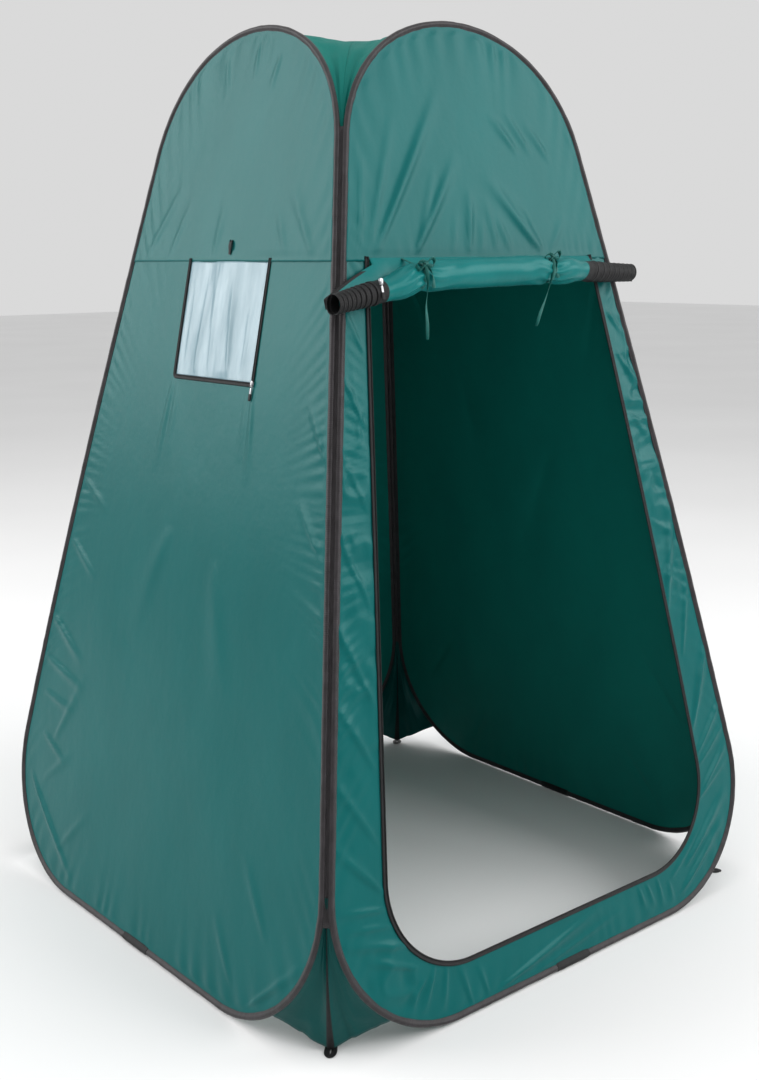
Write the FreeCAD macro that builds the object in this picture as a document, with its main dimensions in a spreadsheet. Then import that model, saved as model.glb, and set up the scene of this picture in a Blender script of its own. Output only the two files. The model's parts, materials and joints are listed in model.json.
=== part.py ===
"""Privacy shower tent, standing open, in millimetres with +Z up.

The origin is on the ground at the middle of the footprint. The doorway faces -Y and the window -X.
Four leaning walls carry one spring-steel hoop each, and meet at four hinged corner seams.
Each wall is drawn flat in its own frame: X across, Y up the slope and Z out of the tent.
"""
import FreeCAD, Part
import math
import os

import Sketcher

SIZES = [
    ("tent_height", 1900),          # top of the sleeves above the ground
    ("base_half", 655),             # wall plane from the middle of the tent, at the ground
    ("lean", 11.25),                # degrees that each wall leans in
    ("hinge_inset", 7.5),           # corner hinge line inside each wall plane
    ("seam_setback", 7.5),          # sleeve centre from the hinge line, along the wall
    ("sleeve_radius", 7),
    ("sleeve_bore", 5.5),
    ("wire_radius", 1.75),
    ("wire_line_inset", 0),         # sleeves and wires follow the hoop line itself
    ("cloth_inset", 7.4),           # edge of the wall cloth inside the hoop line
    ("foot_height", 8),             # hoop line above the ground
    ("crown_radius", 368),
    ("crown_sweep", 24.2),          # degrees each side of the middle
    ("foot_radius", 267),
    ("cloth_thickness", 1),
    ("header_height", 1469),        # header seam, up the slope
    ("seam_gap", 0.4),
    ("cut_width", 1600),            # blocks that trim the walls
    ("cut_height", 2400),
    ("door_foot", 114),             # bottom of the doorway, up the slope
    ("door_reach", 491),            # doorway's side line from the middle, measured square to it
    ("door_taper", 7.6),            # degrees that each side of the doorway leans in
    ("door_corner", 180),
    ("door_edge", 0),
    ("door_tape_width", 11),
    ("tape_thickness", 2),
    ("window_centre", 20),
    ("window_width", 293),
    ("window_foot", 1214),
    ("window_tape_width", 9),
    ("film_thickness", 0.6),
    ("film_gap", 0.6),
    ("flap_drop", 2.5),             # hinge line of the window film below the header seam
    ("roll_height", 1424),
    ("roll_place", -22),            # middle of the rolled door, across the wall
    ("roll_offset", 41.5),          # roll's centre out from the wall plane
    ("roll_radius", 32),
    ("roll_length", 532),
    ("roll_end_length", 142),
    ("roll_end_wide", 26),
    ("roll_end_narrow", 15),
    ("slider_inset", 42),           # door slider from the cloth's end, out along the rolled zip
    ("tie_place", -47.5),           # middle of the two ties, across the wall
    ("tie_position", 172.5),        # each tie from that middle
    ("tie_width", 12),
    ("tie_clearance", 0.6),
    ("tie_thickness", 1.4),
    ("tie_tail", 92),
    ("knot_width", 26),
    ("knot_height", 16),
    ("knot_thickness", 7),
    ("strap_thickness", 2.8),
    ("slider_width", 9),
    ("slider_length", 13),
    ("slider_thickness", 4.4),
    ("slider_rounding", 1.1),
    ("pull_width", 6),
    ("pull_length", 26),
    ("pull_thickness", 1.6),
    ("pull_gap", 1.4),
    ("window_tie_width", 14),
    ("window_tie_length", 34),
    ("ferrule_radius", 3),
    ("ferrule_bore", 1.8),
    ("ferrule_length", 44),
    ("patch_radius", 8.9),
    ("patch_bore", 7.2),
    ("patch_length", 96),
    ("patch_slot", 1.2),            # half width of the slot that lets the wall cloth into the patch
    ("seam_cord_radius", 2.5),
    ("roof_sag", 15),
    ("gusset_tip", 566),            # lowest point of a corner gusset, along both axes
    ("gusset_clearance", 2.4),      # gusset tip above the ground
    ("gusset_hem", 62),             # gusset's ends on the hoops above the ground
    ("gusset_gap", 2.4),            # between a gusset and the outside of the sleeves
    ("loop_reach", 556),            # inner end of a peg loop, along both axes
    ("loop_length", 52),
    ("loop_width", 27),
    ("loop_eye", 14),
    ("loop_thickness", 1.8),
]
CORNERS = [("front_left", 0), ("front_right", 1), ("back_right", 2), ("back_left", 3)]
WALLS = [("front", 0), ("right", 1), ("back", 2), ("left", 3)]
QUARTER = 90.0                      # degrees
HALF_TURN = 180.0
DOWN = -math.pi / 2                 # directions round a circle, in radians
UP = math.pi / 2
DOWN_AGAIN = 1.5 * math.pi
ROOF_STEPS = 12
GUSSET_STEPS = 8
FACE_TOLERANCE = 1e-6
LEAST_CUT = 1.0                     # mm3 that a cut has to take away

doc = FreeCAD.newDocument("ShowerTent")
sheet = doc.addObject("Spreadsheet::Sheet", "sizes")
nodes = []


def fill_sheet():
    for row, (alias, amount) in enumerate(SIZES, start=1):
        sheet.set(f"A{row}", alias)
        sheet.set(f"B{row}", str(amount))
        sheet.setAlias(f"B{row}", alias)
    doc.recompute()


def size(alias):
    return float(sheet.get(alias))


def amount_of(expression):
    """An expression over the sheet, as a plain number in millimetres or degrees."""
    result = sheet.evalExpression(expression.replace("sizes.", ""))
    return float(getattr(result, "Value", result))


# ---------------------------------------------------------------- frames

def wall_frame(turn):
    """The wall's own frame: X across it, Y up its slope and Z straight out of the tent."""
    lean_back = FreeCAD.Rotation(FreeCAD.Vector(1, 0, 0), QUARTER - size("lean"))
    turned = FreeCAD.Rotation(FreeCAD.Vector(0, 0, 1), QUARTER * turn)
    origin = turned.multVec(FreeCAD.Vector(0, -size("base_half"), 0))
    return FreeCAD.Placement(origin, turned.multiply(lean_back))


def at(x, y, z):
    return FreeCAD.Placement(FreeCAD.Vector(x, y, z), FreeCAD.Rotation())


def facing(axis, degrees, x=0.0, y=0.0, z=0.0):
    return FreeCAD.Placement(FreeCAD.Vector(x, y, z), FreeCAD.Rotation(FreeCAD.Vector(*axis), degrees))


# ---------------------------------------------------------------- the hoop line

LEAN = "(sizes.lean * 1deg)"
CROWN_SWEEP = "(sizes.crown_sweep * 1deg)"
APEX = f"((sizes.tent_height - sizes.sleeve_radius) / cos{LEAN})"
FOOT = f"(sizes.foot_height / cos{LEAN})"
SIDE_ANGLE = f"atan(sin{LEAN})"
SIDE_REACH = (f"((sizes.base_half - sizes.hinge_inset / cos{LEAN}) / sqrt(1 + sin{LEAN}^2)"
              " - sizes.seam_setback)")


def hoop_numbers():
    """Centres, radii and angles of the hoop line's arcs, on the right-hand side of a wall."""
    sweep = math.radians(size("crown_sweep"))
    side = math.radians(amount_of(SIDE_ANGLE))
    crown_centre = (0.0, amount_of(APEX) - size("crown_radius"))
    join = (math.sin(sweep), math.cos(sweep))
    square = (math.cos(side), math.sin(side))
    end = (size("crown_radius") * join[0], crown_centre[1] + size("crown_radius") * join[1])
    reach = amount_of(SIDE_REACH)
    left_over = reach - end[0] * square[0] - end[1] * square[1]
    radius = left_over / (1 - join[0] * square[0] - join[1] * square[1])
    shoulder_centre = (end[0] - radius * join[0], end[1] - radius * join[1])
    foot_rise = amount_of(FOOT) + size("foot_radius")
    foot_centre = ((reach - size("foot_radius") - foot_rise * square[1]) / square[0], foot_rise)
    return {"sweep": sweep, "side": side, "reach": reach,
            "crown": (crown_centre, size("crown_radius")),
            "shoulder": (shoulder_centre, radius),
            "foot": (foot_centre, size("foot_radius"))}


def on_arc(arc, angle, inset=0.0, mirror=1):
    (x, y), radius = arc
    reach = radius - inset
    return (mirror * (x + reach * math.cos(angle)), y + reach * math.sin(angle))


# ---------------------------------------------------------------- sketches and bodies

def new_body(label, placement):
    body = doc.addObject("PartDesign::Body", label)
    body.Label = label
    body.Placement = placement
    nodes.append(body)
    return body


def new_sketch(body, name, role="XY_Plane"):
    sketch = body.newObject("Sketcher::SketchObject", f"{body.Label}_{name}")
    plane = [feature for feature in body.Origin.OriginFeatures if feature.Role == role][0]
    sketch.AttachmentSupport = (plane, "")
    sketch.MapMode = "FlatFace"
    return sketch


def bind(sketch, name, constraint, expression):
    """Add one dimension to a sketch and tie it to the sheet."""
    index = sketch.addConstraint(constraint)
    sketch.renameConstraint(index, name)
    sketch.setExpression(f"Constraints.{name}", expression)


def line(start, end):
    return Part.LineSegment(FreeCAD.Vector(start[0], start[1], 0), FreeCAD.Vector(end[0], end[1], 0))


def arc(centre, radius, start, end):
    circle = Part.Circle(FreeCAD.Vector(centre[0], centre[1], 0), FreeCAD.Vector(0, 0, 1), radius)
    return Part.ArcOfCircle(circle, start, end)


def draw_circle(sketch, name, x, y, radius):
    """A circle whose centre and radius are expressions over the sheet."""
    centre = FreeCAD.Vector(amount_of(x), amount_of(y), 0)
    circle = sketch.addGeometry(Part.Circle(centre, FreeCAD.Vector(0, 0, 1), amount_of(radius)), False)
    bind(sketch, f"{name}_radius", Sketcher.Constraint("Radius", circle, amount_of(radius)), radius)
    bind(sketch, f"{name}_x", Sketcher.Constraint("DistanceX", -1, 1, circle, 3, centre.x), x)
    bind(sketch, f"{name}_y", Sketcher.Constraint("DistanceY", -1, 1, circle, 3, centre.y), y)
    return circle


def draw_rectangle(sketch, left, right, low, high):
    """A rectangle between four expressions over the sheet."""
    x0, x1, y0, y1 = (amount_of(side) for side in (left, right, low, high))
    corners = [(x0, y0), (x1, y0), (x1, y1), (x0, y1)]
    edges = [sketch.addGeometry(line(corners[i], corners[(i + 1) % 4]), False) for i in range(4)]
    for i in range(4):
        sketch.addConstraint(Sketcher.Constraint("Coincident", edges[i], 2, edges[(i + 1) % 4], 1))
        sketch.addConstraint(Sketcher.Constraint("Vertical" if i % 2 else "Horizontal", edges[i]))
    bind(sketch, "left", Sketcher.Constraint("DistanceX", -1, 1, edges[0], 1, x0), left)
    bind(sketch, "right", Sketcher.Constraint("DistanceX", -1, 1, edges[1], 1, x1), right)
    bind(sketch, "low", Sketcher.Constraint("DistanceY", -1, 1, edges[0], 1, y0), low)
    bind(sketch, "high", Sketcher.Constraint("DistanceY", -1, 1, edges[2], 1, y1), high)


def draw_side_line(sketch, name, foot, top, mirror, angle, reach):
    """A straight side that leans in by an angle, at a square distance from the sketch's origin."""
    side = sketch.addGeometry(line(foot, top), False)
    turn = f"90deg + {angle}" if mirror > 0 else f"90deg - {angle}"
    bind(sketch, f"{name}_angle", Sketcher.Constraint("Angle", side, math.radians(amount_of(turn))), turn)
    bind(sketch, f"{name}_reach", Sketcher.Constraint("Distance", -1, 1, side, amount_of(reach)), reach)
    return side


def draw_hoop(sketch, inset):
    """The closed hoop line, moved inwards by the sheet's value named inset."""
    shape = hoop_numbers()
    gap = size(inset)
    side, sweep = shape["side"], shape["sweep"]
    foot_line = amount_of(FOOT) + gap
    foot_x, foot_y = shape["foot"][0]
    shoulder_x, shoulder_y = shape["shoulder"][0]
    foot_r, shoulder_r, crown_r = (shape[name][1] - gap for name in ("foot", "shoulder", "crown"))
    reach = f"{SIDE_REACH} - sizes.{inset}"
    crown_span = f"(sizes.crown_radius - sizes.{inset}) * sin{CROWN_SWEEP}"

    right_half = sketch.addGeometry(line((0, foot_line), (foot_x, foot_line)), False)
    foot_right = sketch.addGeometry(arc((foot_x, foot_y), foot_r, DOWN, side), False)
    side_right = draw_side_line(sketch, "side_right", on_arc(shape["foot"], side, gap),
                                on_arc(shape["shoulder"], side, gap), 1, SIDE_ANGLE, reach)
    shoulder_right = sketch.addGeometry(arc((shoulder_x, shoulder_y), shoulder_r, side, UP - sweep), False)
    crown = sketch.addGeometry(arc(shape["crown"][0], crown_r, UP - sweep, UP + sweep), False)
    shoulder_left = sketch.addGeometry(
        arc((-shoulder_x, shoulder_y), shoulder_r, UP + sweep, math.pi - side), False)
    side_left = draw_side_line(sketch, "side_left", on_arc(shape["foot"], side, gap, -1),
                               on_arc(shape["shoulder"], side, gap, -1), -1, SIDE_ANGLE, reach)
    foot_left = sketch.addGeometry(arc((-foot_x, foot_y), foot_r, math.pi - side, DOWN_AGAIN), False)
    left_half = sketch.addGeometry(line((-foot_x, foot_line), (0, foot_line)), False)

    joins = [(right_half, 2, foot_right, 1), (foot_right, 2, side_right, 1),
             (side_right, 2, shoulder_right, 1), (shoulder_right, 2, crown, 1),
             (crown, 2, shoulder_left, 1), (shoulder_left, 2, side_left, 2),
             (side_left, 1, foot_left, 1), (foot_left, 2, left_half, 1)]
    for join in joins:
        sketch.addConstraint(Sketcher.Constraint("Tangent", *join))
    sketch.addConstraint(Sketcher.Constraint("Coincident", left_half, 2, right_half, 1))
    sketch.addConstraint(Sketcher.Constraint("PointOnObject", right_half, 1, -2))
    sketch.addConstraint(Sketcher.Constraint("Horizontal", right_half))
    sketch.addConstraint(Sketcher.Constraint("Horizontal", left_half))
    sketch.addConstraint(Sketcher.Constraint("PointOnObject", crown, 3, -2))
    sketch.addConstraint(Sketcher.Constraint("Equal", foot_left, foot_right))
    sketch.addConstraint(Sketcher.Constraint("Symmetric", crown, 1, crown, 2, -2))
    bind(sketch, "foot_line", Sketcher.Constraint("DistanceY", -1, 1, right_half, 1, foot_line),
         f"{FOOT} + sizes.{inset}")
    bind(sketch, "foot_radius", Sketcher.Constraint("Radius", foot_right, foot_r),
         f"sizes.foot_radius - sizes.{inset}")
    bind(sketch, "crown_radius", Sketcher.Constraint("Radius", crown, crown_r),
         f"sizes.crown_radius - sizes.{inset}")
    bind(sketch, "crown_centre", Sketcher.Constraint("DistanceY", -1, 1, crown, 3, shape["crown"][0][1]),
         f"{APEX} - sizes.crown_radius")
    bind(sketch, "crown_span", Sketcher.Constraint("DistanceX", -1, 1, crown, 1, amount_of(crown_span)),
         crown_span)


def draw_doorway(sketch, widen, top):
    """The doorway's outline, made wider all round by the sheet's value named widen."""
    extra = size(widen)
    side = math.radians(size("door_taper"))
    radius = size("door_corner") + extra
    foot_line = size("door_foot") - extra
    top_line = amount_of(top)
    reach = size("door_reach") + extra
    centre_y = foot_line + radius
    centre_x = (reach - radius - centre_y * math.sin(side)) / math.cos(side)
    turn_x = centre_x + radius * math.cos(side)
    turn_y = centre_y + radius * math.sin(side)
    top_x = (reach - top_line * math.sin(side)) / math.cos(side)

    foot = sketch.addGeometry(line((-centre_x, foot_line), (centre_x, foot_line)), False)
    corner_right = sketch.addGeometry(arc((centre_x, centre_y), radius, DOWN, side), False)
    corner_left = sketch.addGeometry(arc((-centre_x, centre_y), radius, math.pi - side, DOWN_AGAIN), False)
    taper = "(sizes.door_taper * 1deg)"
    jamb_reach = f"sizes.door_reach + sizes.{widen}"
    jamb_right = draw_side_line(sketch, "jamb_right", (turn_x, turn_y), (top_x, top_line), 1,
                                taper, jamb_reach)
    jamb_left = draw_side_line(sketch, "jamb_left", (-turn_x, turn_y), (-top_x, top_line), -1,
                               taper, jamb_reach)
    head = sketch.addGeometry(line((top_x, top_line), (-top_x, top_line)), False)
    for join in ((foot, 2, corner_right, 1), (corner_right, 2, jamb_right, 1),
                 (jamb_left, 1, corner_left, 1), (corner_left, 2, foot, 1)):
        sketch.addConstraint(Sketcher.Constraint("Tangent", *join))
    sketch.addConstraint(Sketcher.Constraint("Coincident", jamb_right, 2, head, 1))
    sketch.addConstraint(Sketcher.Constraint("Coincident", head, 2, jamb_left, 2))
    sketch.addConstraint(Sketcher.Constraint("Horizontal", foot))
    sketch.addConstraint(Sketcher.Constraint("Horizontal", head))
    sketch.addConstraint(Sketcher.Constraint("Equal", corner_left, corner_right))
    bind(sketch, "corner", Sketcher.Constraint("Radius", corner_right, radius),
         f"sizes.door_corner + sizes.{widen}")
    bind(sketch, "foot_line", Sketcher.Constraint("DistanceY", -1, 1, foot, 1, foot_line),
         f"sizes.door_foot - sizes.{widen}")
    bind(sketch, "head_line", Sketcher.Constraint("DistanceY", -1, 1, head, 1, top_line), top)


def draw_slot(sketch, name, start, end, radius):
    """A slot along the sketch's X axis, round at both ends."""
    x0, x1, r = amount_of(start), amount_of(end), amount_of(radius)
    near = sketch.addGeometry(arc((x0, 0), r, UP, DOWN_AGAIN), False)
    low = sketch.addGeometry(line((x0, -r), (x1, -r)), False)
    far = sketch.addGeometry(arc((x1, 0), r, DOWN, UP), False)
    high = sketch.addGeometry(line((x1, r), (x0, r)), False)
    for join in ((near, 2, low, 1), (low, 2, far, 1), (far, 2, high, 1), (high, 2, near, 1)):
        sketch.addConstraint(Sketcher.Constraint("Tangent", *join))
    sketch.addConstraint(Sketcher.Constraint("PointOnObject", near, 3, -1))
    sketch.addConstraint(Sketcher.Constraint("PointOnObject", far, 3, -1))
    bind(sketch, f"{name}_start", Sketcher.Constraint("DistanceX", -1, 1, near, 3, x0), start)
    bind(sketch, f"{name}_end", Sketcher.Constraint("DistanceX", -1, 1, far, 3, x1), end)
    bind(sketch, f"{name}_radius", Sketcher.Constraint("Radius", near, r), radius)


def pad(body, sketch, thickness):
    """Pad a sketch to both sides of its plane."""
    feature = body.newObject("PartDesign::Pad", f"{sketch.Name}_pad")
    feature.Profile = sketch
    feature.SideType = "Symmetric"
    feature.setExpression("Length", thickness)
    return feature


def cut_through(body, sketch):
    """Cut a sketch right through the body, both ways from its plane."""
    before = body.Shape.Volume
    pocket = body.newObject("PartDesign::Pocket", f"{sketch.Name}_cut")
    pocket.Profile = sketch
    pocket.SideType = "Symmetric"
    pocket.Type = "ThroughAll"
    doc.recompute()
    if body.Shape.Volume > before - LEAST_CUT:
        raise RuntimeError(f"{body.Label}: {sketch.Name} cuts nothing")


# ---------------------------------------------------------------- walls and hoops

def wall_sheet(label, turn):
    body = new_body(label, wall_frame(turn))
    outline = new_sketch(body, "outline")
    draw_hoop(outline, "cloth_inset")
    pad(body, outline, "sizes.cloth_thickness")
    doc.recompute()
    return body


def cut_block(body, name, low, high):
    trim = new_sketch(body, name)
    draw_rectangle(trim, "-sizes.cut_width / 2", "sizes.cut_width / 2", low, high)
    cut_through(body, trim)


def header(wall, turn):
    body = wall_sheet(f"header_{wall}", turn)
    cut_block(body, "below_seam", "-sizes.seam_gap", "sizes.header_height")


def wall_cloth(wall, turn):
    body = wall_sheet(f"wall_{wall}", turn)
    cut_block(body, "above_seam", "sizes.header_height - sizes.seam_gap", "sizes.cut_height")
    if wall == "front":
        doorway = new_sketch(body, "doorway")
        draw_doorway(doorway, "door_tape_width", "sizes.header_height + sizes.door_tape_width")
        cut_through(body, doorway)
    if wall == "left":
        window = new_sketch(body, "window")
        draw_rectangle(window, "sizes.window_centre - sizes.window_width / 2",
                       "sizes.window_centre + sizes.window_width / 2",
                       "sizes.window_foot", "sizes.header_height + sizes.window_tape_width")
        cut_through(body, window)


def sweep_circle(body, path, kind, name, radius):
    section = new_sketch(body, f"{name}_section", "YZ_Plane")
    draw_circle(section, name, FOOT, "0", radius)
    doc.recompute()
    pipe = body.newObject(kind, f"{body.Label}_{name}")
    pipe.Profile = section
    pipe.Spine = path
    doc.recompute()


def hoop_pipe(label, turn, outer, bore=None):
    """A rod round the whole hoop line, or a pipe if it has a bore."""
    body = new_body(label, wall_frame(turn))
    path = new_sketch(body, "path")
    draw_hoop(path, "wire_line_inset")
    sweep_circle(body, path, "PartDesign::AdditivePipe", "outer", outer)
    if bore:
        solid_volume = body.Shape.Volume
        sweep_circle(body, path, "PartDesign::SubtractivePipe", "bore", bore)
        if body.Shape.Volume > solid_volume - LEAST_CUT:
            raise RuntimeError(f"{label}: the bore cuts nothing")


def ferrule(wall, turn):
    """The crimped tube that joins the two ends of the hoop wire."""
    body = new_body(f"wire_ferrule_{wall}", wall_frame(turn))
    section = new_sketch(body, "section", "YZ_Plane")
    draw_circle(section, "outer", FOOT, "0", "sizes.ferrule_radius")
    draw_circle(section, "bore", FOOT, "0", "sizes.ferrule_bore")
    pad(body, section, "sizes.ferrule_length")


def foot_patch(wall, turn):
    """The flat-bottomed patch round the sleeve in the middle of a wall's foot."""
    rise = amount_of(FOOT)
    lean = math.radians(size("lean"))
    turned = FreeCAD.Rotation(FreeCAD.Vector(0, 0, 1), QUARTER * turn)
    inward = rise * math.sin(lean) - size("base_half")
    centre = turned.multVec(FreeCAD.Vector(0, inward, size("foot_height")))
    body = new_body(f"foot_patch_{wall}", FreeCAD.Placement(centre, turned))
    section = new_sketch(body, "section", "YZ_Plane")
    radius, drop = size("patch_radius"), size("foot_height")
    half_flat = math.sqrt(radius ** 2 - drop ** 2)
    start = math.atan2(-drop, half_flat)
    rim = section.addGeometry(arc((0, 0), radius, start, math.pi - start), False)
    flat = section.addGeometry(line((-half_flat, -drop), (half_flat, -drop)), False)
    section.addConstraint(Sketcher.Constraint("Coincident", rim, 3, -1, 1))
    section.addConstraint(Sketcher.Constraint("Coincident", rim, 2, flat, 1))
    section.addConstraint(Sketcher.Constraint("Coincident", flat, 2, rim, 1))
    section.addConstraint(Sketcher.Constraint("Horizontal", flat))
    bind(section, "rim_radius", Sketcher.Constraint("Radius", rim, radius), "sizes.patch_radius")
    bind(section, "drop", Sketcher.Constraint("DistanceY", flat, 1, -1, 1, drop), "sizes.foot_height")
    draw_circle(section, "bore", "0", "0", "sizes.patch_bore")
    pad(body, section, "sizes.patch_length")
    doc.recompute()
    slot = new_sketch(body, "slot", "YZ_Plane")
    middle = f"(sizes.patch_radius + sizes.patch_bore) / 2 * sin{LEAN}"
    draw_rectangle(slot, f"{middle} - sizes.patch_slot", f"{middle} + sizes.patch_slot",
                   "0", "sizes.patch_radius * 2")
    cut_through(body, slot)


def seam_line(corner):
    """The corner's hinge line: its point at ground level, and its direction."""
    slope = math.tan(math.radians(size("lean")))
    reach = size("base_half") - size("hinge_inset") / math.cos(math.radians(size("lean")))
    turned = FreeCAD.Rotation(FreeCAD.Vector(0, 0, 1), QUARTER * corner)
    direction = FreeCAD.Vector(slope, slope, 1)
    direction.normalize()
    return turned.multVec(FreeCAD.Vector(-reach, -reach, 0)), turned.multVec(direction)


def seam_cord(name, corner):
    """The round cord sewn along a corner seam, which the two walls fold about."""
    shape = hoop_numbers()
    cos_lean = math.cos(math.radians(size("lean")))
    low = on_arc(shape["foot"], shape["side"])[1] * cos_lean
    high = on_arc(shape["shoulder"], shape["side"])[1] * cos_lean
    ground, direction = seam_line(corner)
    cord = doc.addObject("Part::Cylinder", f"seam_cord_{name}")
    cord.Label = f"seam_cord_{name}"
    cord.setExpression("Radius", "sizes.seam_cord_radius")
    cord.Height = (high - low) / direction.z
    start = ground + direction * (low / direction.z)
    cord.Placement = FreeCAD.Placement(start, FreeCAD.Rotation(FreeCAD.Vector(0, 0, 1), direction))
    nodes.append(cord)
    return low, high


# ---------------------------------------------------------------- roof and corner gussets

def sheet_solid(rows, offset):
    """A closed solid from a grid of points and the same grid moved by offset."""
    count, width = len(rows), len(rows[0])
    top = [[FreeCAD.Vector(*point) for point in row] for row in rows]
    under = [[point + offset for point in row] for row in top]
    faces = []

    def triangle(a, b, c):
        faces.append(Part.Face(Part.makePolygon([a, b, c, a])))

    def quad(a, b, c, d):
        triangle(a, b, c)
        triangle(a, c, d)

    for i in range(count - 1):
        for j in range(width - 1):
            quad(top[i][j], top[i + 1][j], top[i + 1][j + 1], top[i][j + 1])
            quad(under[i][j], under[i][j + 1], under[i + 1][j + 1], under[i + 1][j])
        for j in (0, width - 1):
            quad(top[i][j], under[i][j], under[i + 1][j], top[i + 1][j])
    for i in (0, count - 1):
        for j in range(width - 1):
            quad(top[i][j], top[i][j + 1], under[i][j + 1], under[i][j])
    solid = Part.makeSolid(Part.makeShell(faces))
    solid.fix(FACE_TOLERANCE, FACE_TOLERANCE, FACE_TOLERANCE)
    if solid.Volume < 0:
        solid.reverse()
    return solid


def add_feature(label, solid, turn):
    feature = doc.addObject("Part::Feature", label)
    feature.Label = label
    feature.Shape = solid
    feature.Placement = facing((0, 0, 1), QUARTER * turn)
    nodes.append(feature)


def front_point(u, v, out):
    """A point of the front wall's frame, in the tent's frame."""
    point = wall_frame(0).multVec(FreeCAD.Vector(u, v, out))
    return (point.x, point.y, point.z)


def roof_solid():
    """The front quarter of the roof, from the front hoop's arch to the diagonals and the middle."""
    shape = hoop_numbers()
    behind = -(size("sleeve_radius") + size("seam_gap") + size("cloth_thickness"))
    side, sweep = shape["side"], shape["sweep"]
    arch = []
    for step in range(ROOF_STEPS + 1):
        angle = side + (UP - side) * step / ROOF_STEPS
        name = "shoulder" if angle < UP - sweep else "crown"
        arch.append(on_arc(shape[name], angle))
    widest = arch[0][0]
    crown_y = front_point(*arch[-1], behind)[1]
    right = []
    for u, v in arch:
        edge = front_point(u, v, behind)
        share = (1 - u / widest) ** 2
        diagonal = (u - edge[1]) / 2 + crown_y / 2 * share
        # the last point stops just short of the middle, so that four quarters never touch
        diagonal = max(diagonal, size("cloth_thickness"))
        sag = size("roof_sag") * math.sqrt(max(share, 0))
        seam_side = size("cloth_thickness") / 2
        right.append((edge, (diagonal - seam_side, -diagonal - seam_side, edge[2] - sag)))
    left = [tuple((-x, y, z) for x, y, z in row) for row in right[:-1]]
    return sheet_solid(left + right[::-1], FreeCAD.Vector(0, 0, -size("cloth_thickness")))


def gusset_solid(seam_foot):
    """The front-left gusset, from the seam's foot down between the two hoops' round corners."""
    shape = hoop_numbers()
    outside = -(size("sleeve_radius") + size("gusset_gap"))
    cos_lean = math.cos(math.radians(size("lean")))
    slope = math.tan(math.radians(size("lean")))
    centre_y, radius = shape["foot"][0][1], shape["foot"][1] - outside
    hem_angle = math.asin((size("gusset_hem") / cos_lean - centre_y) / radius)
    corner_top = -(size("base_half") - seam_foot * slope) + size("hinge_inset")
    rows = []
    for step in range(GUSSET_STEPS + 1):
        share = step / GUSSET_STEPS
        angle = shape["side"] + (hem_angle - shape["side"]) * share
        u, v = on_arc(shape["foot"], angle, outside, -1)
        x, y, z = front_point(u, v, 0)
        low = size("gusset_clearance")
        fold_z = seam_foot + (low - seam_foot) * share
        fold = corner_top + (-size("gusset_tip") - corner_top) * share
        rows.append(((x, y, z), (fold, fold, fold_z), (y, x, z)))
    inward = size("cloth_thickness") / math.sqrt(2)
    return sheet_solid(rows[1:], FreeCAD.Vector(inward, inward, 0))


def peg_loop(name, corner):
    """The webbing loop that lies on the ground outside a corner, for one peg."""
    reach = size("loop_reach")
    outward = facing((0, 0, 1), HALF_TURN + QUARTER / 2, -reach, -reach)
    body = new_body(f"peg_loop_{name}", facing((0, 0, 1), QUARTER * corner).multiply(outward))
    outline = new_sketch(body, "outline")
    draw_slot(outline, "outer", "sizes.loop_width / 2", "sizes.loop_length - sizes.loop_width / 2",
              "sizes.loop_width / 2")
    draw_slot(outline, "eye", "sizes.loop_width / 2", "sizes.loop_length - sizes.loop_width / 2",
              "sizes.loop_eye / 2")
    strap = body.newObject("PartDesign::Pad", f"peg_loop_{name}_pad")
    strap.Profile = outline
    strap.setExpression("Length", "sizes.loop_thickness")


# ---------------------------------------------------------------- door

def door_tape():
    """The fixed half of the door's zip, bound round the doorway's edge."""
    body = new_body("door_zip_tape", wall_frame(0))
    outline = new_sketch(body, "outline")
    draw_doorway(outline, "door_tape_width", "sizes.header_height - sizes.seam_gap")
    pad(body, outline, "sizes.tape_thickness")
    doc.recompute()
    inside = new_sketch(body, "inside")
    draw_doorway(inside, "door_edge", "sizes.header_height + sizes.door_tape_width")
    cut_through(body, inside)


def door_roll():
    body = new_body("door_roll", wall_frame(0).multiply(at(size("roll_place"), 0, 0)))
    section = new_sketch(body, "section", "YZ_Plane")
    draw_circle(section, "roll", "sizes.roll_height", "sizes.roll_offset", "sizes.roll_radius")
    pad(body, section, "sizes.roll_length")


def roll_end(name, side):
    """One rolled end of the door's zip, a cone that narrows away from the roll."""
    cone = doc.addObject("Part::Cone", f"roll_zip_{name}")
    cone.Label = f"roll_zip_{name}"
    cone.setExpression("Radius1", "sizes.roll_end_wide")
    cone.setExpression("Radius2", "sizes.roll_end_narrow")
    cone.setExpression("Height", "sizes.roll_end_length")
    start = size("roll_place") + side * (size("roll_length") / 2 + size("seam_gap"))
    cone.Placement = wall_frame(0).multiply(
        facing((0, 1, 0), side * QUARTER, start, size("roll_height"), size("roll_offset")))
    nodes.append(cone)


def box(name, place, across, up, out):
    """A block centred across its frame, from its lower edge up and from its inner face out."""
    block = doc.addObject("Part::Box", name)
    block.setExpression("Length", across)
    block.setExpression("Width", up)
    block.setExpression("Height", out)
    block.Placement = place.multiply(at(-amount_of(across) / 2, 0, 0))
    return block


def fused(label, shapes):
    fusion = doc.addObject("Part::MultiFuse", label)
    fusion.Label = label
    fusion.Shapes = shapes
    nodes.append(fusion)


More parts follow.
